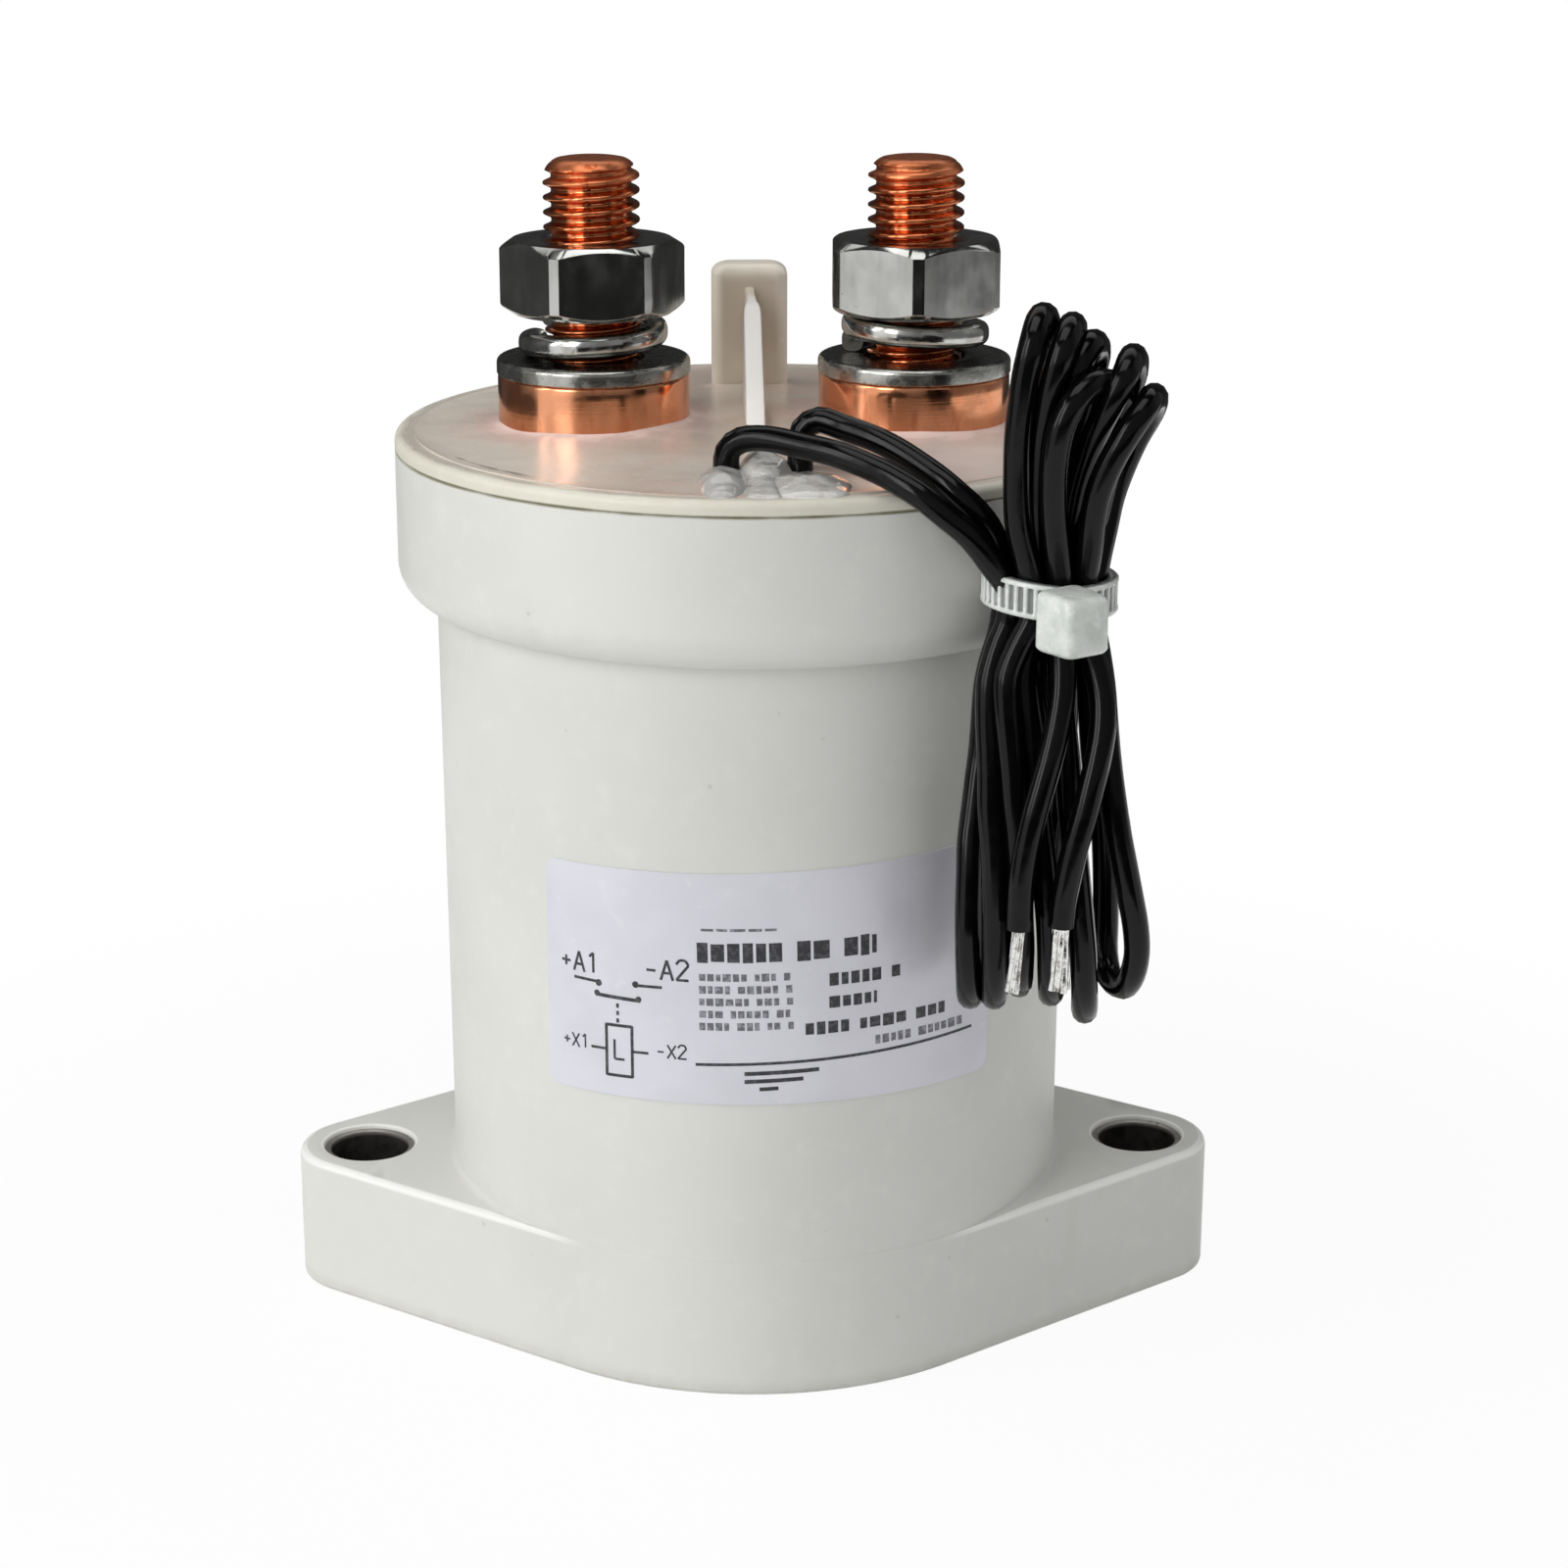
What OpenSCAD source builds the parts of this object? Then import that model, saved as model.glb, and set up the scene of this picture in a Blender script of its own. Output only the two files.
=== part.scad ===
// Sealed direct-current contactor: a moulded cup on a two-hole foot, closed by
// potting resin, with two threaded copper terminals and two coil leads on top.
// Inside: a ceramic contact chamber, a moving contact bridge on a plunger shaft,
// and the coil with its steel magnetic circuit.
// X runs through both terminals and both foot holes, Y points to the back, Z up.
// The origin is the centre of the foot's underside. All sizes are millimetres.

/* [Foot] */
// Thickness of the foot flange
foot_t = 15; // [8:0.5:20]
// Radius of the foot's two rounded ends
foot_tip_r = 7.6; // [7:0.1:12]
// Diameter of the moulded hole that holds each bush
foot_hole_d = 9.9; // [8.5:0.1:11]
// Land between the body wall and the edge of a foot hole
foot_land = 4.65; // [4:0.05:12]
// Bore of each steel mounting bush
bush_bore_d = 8.5; // [6.5:0.1:8.5]
// How far each bush end lies below the moulded faces
bush_recess = 0.4; // [0.1:0.1:1]

/* [Housing] */
// Diameter of the body where it meets the foot
body_d = 65.8; // [62:0.2:90]
// Growth in radius of the body from the foot up to the head
body_draft = 0.4; // [0:0.1:1]
// How far the head stands out from the body all round
head_overhang = 3.95; // [3:0.05:8]
// Height of the housing's rim
housing_h = 95; // [92:0.5:120]
// Height of the head from its underside to the rim
head_h = 17.2; // [14:0.2:24]
// Radius of the head's rounded lower edge
head_round = 3.9; // [1:0.1:4]
// Wall thickness of the body
wall = 2.4; // [1.6:0.1:3]
// Floor thickness under the yoke
floor_t = 3; // [2:0.5:5]
// Width of the rim on top
rim_w = 2; // [1.5:0.1:3]
// Height of the separate rim ring
rim_h = 1.6; // [1.2:0.1:2.5]
// Chamfer that shows as the dark joint line under the rim ring
joint_chamfer = 0.2; // [0.1:0.05:0.4]

/* [Top cover, barrier and resin] */
// Thickness of the inner cover plate
cover_t = 1.5; // [1:0.1:2.5]
// Depth of resin over the cover plate at the rim
resin_t = 2; // [1.5:0.1:4]
// Height of the resin's crown above its edge
resin_crown = 1.2; // [0.2:0.1:2]
// Height of the barrier above the rim
barrier_h = 14.1; // [8:0.1:25]
// Width of the barrier post
barrier_w = 8.2; // [5:0.1:9]
// Thickness of the barrier post from front to back
barrier_t = 4.6; // [3:0.1:8]
// Distance of the post's front face behind the middle
barrier_y = 17.5; // [14:0.5:22]
// Thickness of the barrier fin at its root
fin_t = 2.1; // [1.6:0.1:3]
// Thickness of the barrier fin at its top
fin_top_t = 1.5; // [1:0.1:2]
// How far the fin's foot reaches in front of the middle
fin_reach = 8.6; // [5:0.1:12]
// How far the fin's top lies below the post's top
fin_drop = 2.4; // [0.5:0.1:5]

/* [Terminals] */
// Distance between the two terminal studs
stud_spacing = 33.2; // [27:0.1:34]
// Outside diameter of the stud thread
stud_d = 9.9; // [8:0.1:10]
// Height of the stud's end above the collar
stud_h = 22; // [18:0.5:30]
// Chamfer at the stud's end
stud_chamfer = 1.4; // [0.5:0.1:2]
// Diameter of the terminal's seating collar
collar_d = 19.8; // [17:0.1:21]
// Height of the collar's seat above the rim
collar_z = 5.7; // [3:0.1:10]
// Diameter of the fixed contact under the collar
contact_d = 11; // [9:0.1:13]

/* [Fasteners] */
// Outside diameter of the flat washers
washer_d = 20; // [18:0.1:22]
// Thickness of the flat washers
washer_t = 1.7; // [1:0.1:2.5]
// Inside diameter of the washers
washer_hole_d = 10.5; // [10.2:0.1:11]
// Outside diameter of the split spring washers
spring_washer_d = 15.4; // [15:0.1:18]
// Width and height of the split spring washer's section
spring_washer_section = 2.4; // [1.8:0.1:2.5]
// Open height of the split spring washers
spring_washer_h = 4.6; // [3.8:0.1:6]
// Width of the hexagon nuts across flats
nut_af = 17; // [16:0.1:18]
// Height of the hexagon nuts
nut_h = 7.5; // [5:0.1:9]

/* [Contact chamber] */
// Outside size of the ceramic chamber from front to back
chamber_w = 31; // [28:0.5:32]
// Outside height of the ceramic chamber
chamber_h = 37; // [34:0.5:40]
// Wall thickness of the ceramic chamber
chamber_wall = 3; // [2:0.1:4]
// Corner radius of the ceramic chamber
chamber_corner = 8; // [5:0.5:10]
// Height of the steel weld ring under the ceramic
weld_ring_h = 5.5; // [4.5:0.1:8]
// Depth of the fixed contact faces below the ceramic's top
contact_drop = 14.7; // [12:0.1:16]
// Open gap between the moving bridge and the fixed contacts
contact_gap = 2; // [1:0.1:3]
// How far the moving bridge reaches past the middle of each fixed contact
bridge_reach = 5.4; // [4:0.1:6]
// Width of the moving bridge
bridge_w = 11; // [8:0.5:12]
// Thickness of the moving bridge
bridge_t = 3; // [2:0.1:4]
// Length of the contact spring between the shaft's shoulder and the bridge
contact_spring_l = 9.5; // [7:0.1:11]

/* [Magnets] */
// Length of each magnet
magnet_l = 30; // [20:1:32]
// Thickness of each magnet
magnet_t = 6; // [3:0.1:6]
// Height of each magnet
magnet_h = 16; // [10:0.5:20]
// Wall thickness of the steel ring round the magnets
magnet_ring_t = 1.5; // [1:0.1:1.8]

/* [Coil and magnetic circuit] */
// Thickness of the yoke frame's sheet
yoke_t = 2.5; // [2:0.1:3]
// Outside width of the yoke frame across its legs
yoke_span = 50; // [48:0.5:54]
// Width of the yoke frame from front to back
yoke_w = 30; // [24:0.5:32]
// Thickness of the yoke plate over the coil
plate_t = 3; // [2:0.1:4]
// Diameter of the plunger
plunger_d = 16; // [12:0.1:18]
// Travel of the plunger
travel = 2.8; // [2.2:0.1:4]
// Length of the plunger
plunger_l = 22.2; // [18:0.1:24]
// Wall thickness of the sleeve round the plunger
sleeve_t = 0.5; // [0.3:0.05:0.8]
// Diameter of the bobbin's flanges
bobbin_d = 42; // [36:0.5:44]
// Wall thickness of the bobbin
bobbin_t = 1; // [0.8:0.1:1.6]
// Diameter of the winding
winding_d = 38; // [30:0.5:42]
// Diameter of the plunger shaft
shaft_d = 4; // [3:0.1:5]
// Diameter of the return spring's pockets
spring_pocket_d = 9; // [8:0.1:10]
// Depth of the return spring's pocket in the plunger and in the core
spring_pocket = 6; // [4:0.1:8]

/* [Coil leads] */
// Outside diameter of each insulated lead
lead_d = 2.5; // [1.8:0.1:2.6]
// Diameter of the tinned strands at each lead's end
strand_d = 1.6; // [1:0.1:1.7]
// Thickness of the cable tie's strap
tie_t = 1.1; // [0.8:0.1:1.4]
// Width of the cable tie's strap
tie_w = 3.4; // [2:0.1:4]

/* [Label] */
// Height of the label
label_h = 24.6; // [15:0.2:30]
// Height of the label's lower edge above the foot's underside
label_z = 32.4; // [26:0.2:40]
// Angle that the label covers round the body
label_angle = 85; // [60:1:120]
// Thickness of the label
label_t = 0.12; // [0.08:0.01:0.3]

/* [Hidden] */

// Gap of a sliding fit, measured on the radius
slide_gap = 0.05;
// Gap round a piece that is moulded, cast or pressed into another
fixed_gap = 0.02;
// Gap between pieces that are only placed together
seat_gap = 0.2;
// Length by which a cutting shape runs past a face
over = 1;

// Radii and heights of the housing
head_z = housing_h - head_h;
body_r = body_d / 2;
foot_mid_r = body_r + 0.05;
hole_x = body_r + foot_land + foot_hole_d / 2;
tangent_cos = (foot_mid_r - foot_tip_r) / hole_x;
tangent_sin = sqrt(1 - tangent_cos * tangent_cos);
neck_r = body_r + body_draft;
head_r = neck_r + head_overhang;
cavity_r = body_r - wall;
mouth_r = head_r - rim_w;
ledge_r = mouth_r - 1.75;
joint_z = housing_h - rim_h;

// Stack of the top, measured down from the rim
cover_top = housing_h - resin_t;
cover_z = cover_top - cover_t;
ceramic_top = cover_z - 0.3;
resin_edge = housing_h - 0.15;
crown_steps = 5;
cast_r = mouth_r - fixed_gap;
crown_profile = [for (k = [0:crown_steps]) let (u = 1 - k / crown_steps)
    [cast_r * u, resin_edge + resin_crown * (1 - u * u)]];
seat_z = housing_h + collar_z;

// Height at which the barrier's fin comes out of the resin, the length of its level
// top in front of the post, and the rounding of the post's standing edges
fin_root = resin_edge + resin_crown;
fin_level = 11;
post_edge = 1.2;

// Places of the studs and of what is on them
stud_x = stud_spacing / 2;
washer_top = seat_z + washer_t;
nut_z = washer_top + spring_washer_h;
nut_top = nut_z + nut_h;
// Inside the nut and washers the stud is drawn at the mean diameter of its thread:
// how far that lies under the crests, and how far it runs past the nut
thread_mean = 0.45;
thread_past = 0.1;

// Stack of the chamber
chamber_half = stud_x + contact_d / 2 + 4.9;
ceramic_z = ceramic_top - chamber_h;
plate_top = ceramic_z - weld_ring_h;
plate_z = plate_top - plate_t;
contact_z = ceramic_top - contact_drop;
bridge_top = contact_z - contact_gap;
bridge_z = bridge_top - bridge_t;
shoulder_top = bridge_z - contact_spring_l;
shoulder_t = 1.2;
shaft_top = bridge_top + 2.5;
bridge_half = stud_x + bridge_reach;
clip_t = 0.8;
clip_z = bridge_top + 0.02;
groove_r = shaft_d / 2 - 0.3;
weld_foot_t = 0.8;
gas_tube_y = -10.5;
gas_tube_r = 1.5;

// Stack of the magnetic circuit
bobbin_z = floor_t + yoke_t;
bobbin_flange_t = 1.4;
bobbin_top = plate_z - seat_gap;
sleeve_in = plunger_d / 2 + slide_gap;
sleeve_out = sleeve_in + sleeve_t;
sleeve_flange_t = 0.4;
sleeve_floor = bobbin_z + sleeve_t;
bobbin_in = sleeve_out + 0.1;
plunger_z = sleeve_floor + 0.1;
plunger_top = plunger_z + plunger_l;
shaft_z = plunger_z + 2;
shoulder_r = shaft_d / 2 + 4;
core_z = plunger_top + travel + 0.1;
core_flange_z = plate_top + sleeve_flange_t;
core_flange_t = 1.5;
core_flange_r = plunger_d / 2 + 4;
tray_z = core_flange_z + core_flange_t;

// The hand-chosen points below belong to this head radius and this rim height,
// and are carried along when the housing takes another size
drawn_head_r = 37.25;
drawn_rim = 95;
grow = head_r / drawn_head_r;
lift = housing_h - drawn_rim;
function carried(p) = [p[0] * grow, p[1] * grow, p[2] + lift];

// Where the two coil leads leave the resin, and their ends inside the housing
lead_exit = [carried([-3.4, -24, 96]), carried([3.8, -24.5, 96])];
lead_r = lead_d / 2;
lead_foot = plate_z - 1;
lead_hole_r = lead_r + seat_gap;
label_mid = 272;
dab_r = 3.4;
dab_rise = 1.2;
dab_z = housing_h - 0.4;
dab_top = housing_h + 1.7;

// Route of lead 1 from its exit over the rim to the waist of the hank, chosen by hand
lead_1_route = [[-3.2, -24.1, 97.2], [-1.9, -24.8, 98.4], [0.6, -26.3, 98.9],
    [3.5, -28.5, 98.8], [7.3, -31.5, 98.1], [10.9, -34.2, 96.8], [12.9, -35.6, 95.9],
    [14.8, -36.7, 94.6], [17.1, -37.5, 92.8], [19.2, -38, 90.8], [20.9, -38.3, 88.9],
    [21.8, -38.4, 87]];
// Route of lead 2, chosen by hand
lead_2_route = [[3.9, -24.4, 97.8], [4.4, -24.2, 99.3], [5.8, -24.4, 100.2],
    [7.9, -25.5, 100.1], [10.8, -27.9, 99], [13.2, -30, 98.2], [15.3, -32, 97.1],
    [17, -33.6, 96.1], [18.6, -34.6, 94.8], [19.8, -35.1, 93], [20.4, -35.4, 91],
    [20.6, -35.3, 89], [20.5, -35, 87]];

// Waist of the hank, where the cable tie holds the bundled leads
waist = carried([27.3, -34.4, 84.6]);
waist_r = lead_d * 2.17;
waist_up = 5.2;
waist_down = 8.4;
hank_front = waist[1] - 3.5 * lead_d;
upper_depth = 4.9 * lead_d;
lower_depth = 5.7 * lead_d;
// Folds of the hank's upper and lower loops, from the waist: sideways, up, radius
upper_folds = [[-1.4, 24.8, 3.4], [3.8, 22.6, 3.4], [8.6, 18.4, 3]];
lower_folds = [[-5.2, -39.2, 3], [4.6, -40.2, 3.4], [7.8, -37, 3]];
// Tops of the two tinned ends, from the waist: sideways, up
end_tops = [[-3.4, -29.7], [0.9, -29.7]];
end_l = 6.6;

module ring(outer_r, inner_r, h) {
    difference() {
        cylinder(h = h, r = outer_r, $fn = 96);
        translate([0, 0, -over])
            cylinder(h = h + 2 * over, r = inner_r, $fn = 96);
    }
}

module rounded_plate(half_x, half_y, corner, h) {
    linear_extrude(h)
        rounded_outline(half_x, half_y, corner);
}

module rounded_outline(half_x, half_y, corner) {
    square([2 * (half_x - corner), 2 * half_y], center = true);
    square([2 * half_x, 2 * (half_y - corner)], center = true);
    for (x = [-1, 1], y = [-1, 1])
        translate([x * (half_x - corner), y * (half_y - corner)])
            circle(r = corner, $fn = 64);
}

// Functions and a module that sweep a closed section along a list of points
function unit(v) = v / norm(v);
function heading(path, i) = unit(path[min(i + 1, len(path) - 1)] - path[max(i - 1, 0)]);
function round_section(r, sides) = [for (k = [0:sides - 1])
    [r * cos(360 * k / sides), r * sin(360 * k / sides)]];
function helix(r, from_z, to_z, turns, steps, start = 0, hand = 1) = [for (i = [0:steps])
    let (a = start + hand * 360 * turns * i / steps)
    [r * cos(a), r * sin(a), from_z + (to_z - from_z) * i / steps]];

module swept(path, section, side_of) {
    n = len(section);
    last = len(path) - 1;
    points = [for (i = [0:last])
        let (t = heading(path, i), side = unit(cross(t, side_of)), top = cross(side, t))
        for (q = section) path[i] + q[0] * side + q[1] * top];
    walls = [for (i = [0:last - 1], k = [0:n - 1])
        let (a = i * n + k, b = i * n + (k + 1) % n)
        each [[a, b, b + n], [a, b + n, a + n]]];
    caps = [[for (k = [n - 1:-1:0]) k], [for (k = [0:n - 1]) last * n + k]];
    polyhedron(points = points, faces = concat(walls, caps), convexity = 10);
}

module foot_outline() {
    circle(r = foot_mid_r, $fn = 180);
    for (x = [-1, 1])
        translate([x * hole_x, 0])
            circle(r = foot_tip_r, $fn = 96);
    near = [foot_mid_r * tangent_cos, foot_mid_r * tangent_sin];
    far = [hole_x + foot_tip_r * tangent_cos, foot_tip_r * tangent_sin];
    polygon([[far[0], far[1]], [near[0], near[1]], [-near[0], near[1]], [-far[0], far[1]],
        [-far[0], -far[1]], [-near[0], -near[1]], [near[0], -near[1]], [far[0], -far[1]]]);
}

module head_section() {
    square_bottom = head_z + head_round;
    difference() {
        union() {
            polygon([[0, 0], [body_r, 0], [body_r, foot_t], [neck_r, head_z],
                [neck_r, head_z + over], [0, head_z + over]]);
            translate([0, square_bottom])
                square([head_r, joint_z - square_bottom]);
            translate([0, head_z])
                square([head_r - head_round, head_round + over]);
            translate([head_r - head_round, square_bottom])
                circle(r = head_round, $fn = 64);
        }
        translate([-2 * head_r, head_z - 2 * head_r])
            square(2 * head_r);
        polygon([[head_r - joint_chamfer, joint_z],
            [head_r + over, joint_z - joint_chamfer - over], [head_r + over, joint_z + over],
            [head_r - joint_chamfer, joint_z + over]]);
        translate([-over, floor_t])
            square([cavity_r + over, head_z + 4 - floor_t]);
        translate([-over, head_z + 4 - over])
            square([ledge_r + over, joint_z - head_z]);
        translate([-over, cover_z])
            square([mouth_r + over, joint_z - cover_z + over]);
    }
}

module housing() {
    color("ivory")
    difference() {
        union() {
            linear_extrude(foot_t)
                foot_outline();
            rotate_extrude($fn = 180)
                head_section();
        }
        translate([0, 0, floor_t])
            cylinder(h = foot_t, r = cavity_r, $fn = 180);
        for (x = [-1, 1])
            translate([x * hole_x, 0, -over])
                cylinder(h = foot_t + 2 * over, d = foot_hole_d, $fn = 64);
    }
}

module rim_ring() {
    round_r = 0.7;
    color("ivory")
    rotate_extrude($fn = 180)
        union() {
            translate([mouth_r, joint_z + joint_chamfer])
                square([rim_w, rim_h - joint_chamfer - round_r]);
            translate([mouth_r, joint_z])
                square([rim_w - joint_chamfer, rim_h / 2]);
            polygon([[head_r - joint_chamfer, joint_z], [head_r, joint_z + joint_chamfer],
                [head_r - joint_chamfer, joint_z + joint_chamfer]]);
            translate([mouth_r, joint_z + rim_h / 2])
                square([rim_w - round_r, rim_h / 2]);
            translate([head_r - round_r, housing_h - round_r])
                circle(r = round_r, $fn = 32);
        }
}

// Outline of the barrier where it passes through the resin, with a gap all round
module barrier_root(gap) {
    inside = barrier_y + barrier_t / 2;
    translate([0, inside])
        rounded_outline(barrier_w / 2 + gap, barrier_t / 2 + gap, post_edge + gap);
    translate([-fin_t / 2 - gap, -fin_reach - gap])
        square([fin_t + 2 * gap, inside + fin_reach]);
}

module barrier_post() {
    top = housing_h + barrier_h;
    corner = 2;
    intersection() {
        translate([0, barrier_y + barrier_t, 0])
            rotate([90, 0, 0])
                linear_extrude(barrier_t)
                    union() {
                        translate([-barrier_w / 2, cover_z + over])
                            square([barrier_w, top - cover_z - over - corner]);
                        translate([corner - barrier_w / 2, cover_z + over])
                            square([barrier_w - 2 * corner, top - cover_z - over]);
                        for (x = [-1, 1])
                            translate([x * (barrier_w / 2 - corner), top - corner])
                                circle(r = corner, $fn = 48);
                    }
        translate([0, barrier_y + barrier_t / 2, cover_z])
            rounded_plate(barrier_w / 2, barrier_t / 2, post_edge, top - cover_z + over);
    }
}

module barrier_fin() {
    top = housing_h + barrier_h - fin_drop;
    level_end = barrier_y - fin_level;
    inside = barrier_y + barrier_t / 2;
    bottom = cover_z + over;
    intersection() {
        translate([fin_t, 0, 0])
            rotate([90, 0, -90])
                linear_extrude(2 * fin_t)
                    polygon([[-inside, bottom], [-inside, top], [-level_end, top],
                        [fin_reach, fin_root], [fin_reach, bottom]]);
        translate([0, inside, 0])
            rotate([90, 0, 0])
                linear_extrude(inside + fin_reach + over)
                    polygon([[-fin_t / 2, bottom - over], [fin_t / 2, bottom - over],
                        [fin_t / 2, fin_root], [fin_top_t / 2, top + over],
                        [-fin_top_t / 2, top + over], [-fin_t / 2, fin_root]]);
    }
}

module cover_barrier() {
    color("whitesmoke")
    difference() {
        union() {
            translate([0, 0, cover_z])
                cylinder(h = cover_t, r = cast_r, $fn = 180);
            barrier_post();
            barrier_fin();
        }
        for (x = [-1, 1])
            translate([x * stud_x, 0, cover_z - over])
                cylinder(h = cover_t + 2 * over, r = collar_d / 2 + seat_gap, $fn = 96);
        for (p = lead_exit)
            translate([p[0], p[1], cover_z - over])
                cylinder(h = cover_t + 2 * over, r = lead_hole_r, $fn = 32);
        translate([0, gas_tube_y, cover_z - over])
            cylinder(h = cover_t + 2 * over, r = gas_tube_r + seat_gap, $fn = 32);
    }
}

module potting() {
    color("rosybrown")
    difference() {
        rotate_extrude($fn = 180)
            polygon(concat([[0, cover_top], [cast_r, cover_top]], crown_profile));
        for (x = [-1, 1])
            translate([x * stud_x, 0, cover_top - over])
                cylinder(h = resin_t + resin_crown + 2 * over, r = collar_d / 2 + fixed_gap,
                    $fn = 96);
        translate([0, 0, cover_top - over])
            linear_extrude(resin_t + resin_crown + 2 * over)
                barrier_root(fixed_gap);
        for (p = lead_exit) {
            translate([p[0], p[1], cover_top - over])
                cylinder(h = resin_t + 2 * over, r = lead_hole_r, $fn = 32);
            translate([p[0], p[1], dab_z])
                cylinder(h = resin_crown + 2 * over, r = dab_r + fixed_gap, $fn = 48);
        }
    }
}

module seal_dab(i) {
    dome_r = (dab_r * dab_r + dab_rise * dab_rise) / (2 * dab_rise);
    color("lightgray")
    translate([lead_exit[i][0], lead_exit[i][1], 0])
        rotate_extrude($fn = 48)
            intersection() {
                translate([lead_r + slide_gap, dab_z])
                    square([dab_r - lead_r - slide_gap, dab_top - dab_z]);
                translate([0, dab_top - dome_r])
                    circle(r = dome_r, $fn = 96);
            }
}

module mounting_bush(side) {
    color("dimgray")
    translate([side * hole_x, 0, bush_recess])
        ring(foot_hole_d / 2 - fixed_gap, bush_bore_d / 2, foot_t - 2 * bush_recess);
}

module terminal(side) {
    stud_r = stud_d / 2;
    contact_r = contact_d / 2;
    collar_r = collar_d / 2;
    mean_r = stud_r - thread_mean;
    mean_z = nut_top + thread_past;
    edge = 0.3;
    tip = seat_z + stud_h;
    color("peru")
    translate([side * stud_x, 0, 0])
        rotate_extrude($fn = 96)
            polygon([[0, contact_z], [contact_r - 2 * edge, contact_z],
                [contact_r, contact_z + 2 * edge], [contact_r, ceramic_top],
                [collar_r, ceramic_top], [collar_r, seat_z - edge],
                [collar_r - edge, seat_z], [mean_r, seat_z], [mean_r, mean_z],
                [stud_r, mean_z], [stud_r, tip - stud_chamfer],
                [stud_r - stud_chamfer, tip], [0, tip]]);
}

module flat_washer(side) {
    edge = 0.3;
    inner = washer_hole_d / 2;
    outer = washer_d / 2;
    color("silver")
    translate([side * stud_x, 0, seat_z])
        rotate_extrude($fn = 96)
            polygon([[inner, 0], [outer, 0], [outer, washer_t - edge],
                [outer - edge, washer_t], [inner + edge, washer_t], [inner, washer_t - edge]]);
}

module spring_washer(side, start, hand) {
    half = spring_washer_section / 2;
    edge = 0.5;
    mid_r = spring_washer_d / 2 - half;
    path = helix(mid_r, washer_top + half, nut_z - half, 0.955, 44, start, hand);
    section = [[half, half - edge], [half - edge, half], [edge - half, half],
        [-half, half - edge], [-half, edge - half], [edge - half, -half],
        [half - edge, -half], [half, edge - half]];
    color("gainsboro")
    translate([side * stud_x, 0, 0])
        swept(path, section, [0, 0, 1]);
}

module hex_nut(side, turn) {
    corner_r = nut_af / sqrt(3);
    face_r = nut_af * 0.475;
    rim_r = corner_r + over;
    drop = (rim_r - face_r) * tan(30);
    bore_r = stud_d / 2 - thread_mean + slide_gap;
    lead_in = 0.6;
    color("silver")
    translate([side * stud_x, 0, nut_z])
        rotate(turn)
            intersection() {
                cylinder(h = nut_h, r = corner_r, $fn = 6);
                rotate_extrude($fn = 96)
                    polygon([[bore_r, lead_in], [bore_r + lead_in, 0], [face_r, 0],
                        [rim_r, drop], [rim_r, nut_h - drop], [face_r, nut_h],
                        [bore_r + lead_in, nut_h], [bore_r, nut_h - lead_in]]);
            }
}

module ceramic_chamber() {
    top_t = 3.5;
    color("linen")
    difference() {
        translate([0, 0, ceramic_z])
            rounded_plate(chamber_half, chamber_w / 2, chamber_corner, chamber_h);
        translate([0, 0, ceramic_z - over])
            rounded_plate(chamber_half - chamber_wall, chamber_w / 2 - chamber_wall,
                chamber_corner - chamber_wall, chamber_h - top_t + over);
        for (x = [-1, 1])
            translate([x * stud_x, 0, ceramic_z])
                cylinder(h = chamber_h + over, r = contact_d / 2 + slide_gap, $fn = 64);
        translate([0, gas_tube_y, ceramic_z])
            cylinder(h = chamber_h + over, r = gas_tube_r + slide_gap, $fn = 32);
    }
}

module weld_ring() {
    wall_t = 0.8;
    foot_w = 0.8;
    color("silver")
    difference() {
        union() {
            translate([0, 0, plate_top])
                rounded_plate(chamber_half, chamber_w / 2, chamber_corner, weld_ring_h);
            translate([0, 0, plate_top])
                rounded_plate(chamber_half + foot_w, chamber_w / 2 + foot_w,
                    chamber_corner + foot_w, weld_foot_t);
        }
        translate([0, 0, plate_top - over])
            rounded_plate(chamber_half - wall_t, chamber_w / 2 - wall_t,
                chamber_corner - wall_t, weld_ring_h + 2 * over);
    }
}

module arc_tray() {
    inset = 1.2;
    tray_t = 1.5;
    color("wheat")
    translate([0, 0, tray_z])
        difference() {
            rounded_plate(chamber_half - inset, chamber_w / 2 - inset, chamber_corner - inset,
                tray_t);
            translate([0, 0, -over])
                cylinder(h = tray_t + 2 * over, r = shaft_d / 2 + 1, $fn = 48);
        }
}

module gas_tube() {
    depth = 4.5;
    tube_wall = 0.6;
    color("peru")
    translate([0, gas_tube_y, ceramic_top - depth])
        difference() {
            cylinder(h = depth + cover_t, r = gas_tube_r, $fn = 32);
            translate([0, 0, -over])
                cylinder(h = depth + over, r = gas_tube_r - tube_wall, $fn = 32);
        }
}

module magnet(side) {
    near = chamber_w / 2 + seat_gap;
    middle = contact_z - contact_gap / 2;
    color("dimgray")
    translate([0, side * (near + magnet_t / 2), middle])
        cube([magnet_l, magnet_t, magnet_h], center = true);
}

module magnet_ring() {
    outer = cavity_r - 0.4;
    slot = 3;
    bottom = plate_top + weld_foot_t;
    color("slategray")
    translate([0, 0, bottom])
        difference() {
            ring(outer, outer - magnet_ring_t, bridge_top + 8 - bottom);
            translate([-slot / 2, 0, -over])
                cube([slot, outer + over, 2 * chamber_h]);
        }
}

module contact_bridge() {
    end_x = bridge_half - bridge_w / 2;
    color("peru")
    translate([0, 0, bridge_z])
        linear_extrude(bridge_t)
            difference() {
                union() {
                    square([2 * end_x, bridge_w], center = true);
                    for (x = [-end_x, end_x])
                        translate([x, 0])
                            circle(d = bridge_w, $fn = 64);
                }
                circle(r = shaft_d / 2 + 2 * slide_gap, $fn = 48);
            }
}

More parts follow.
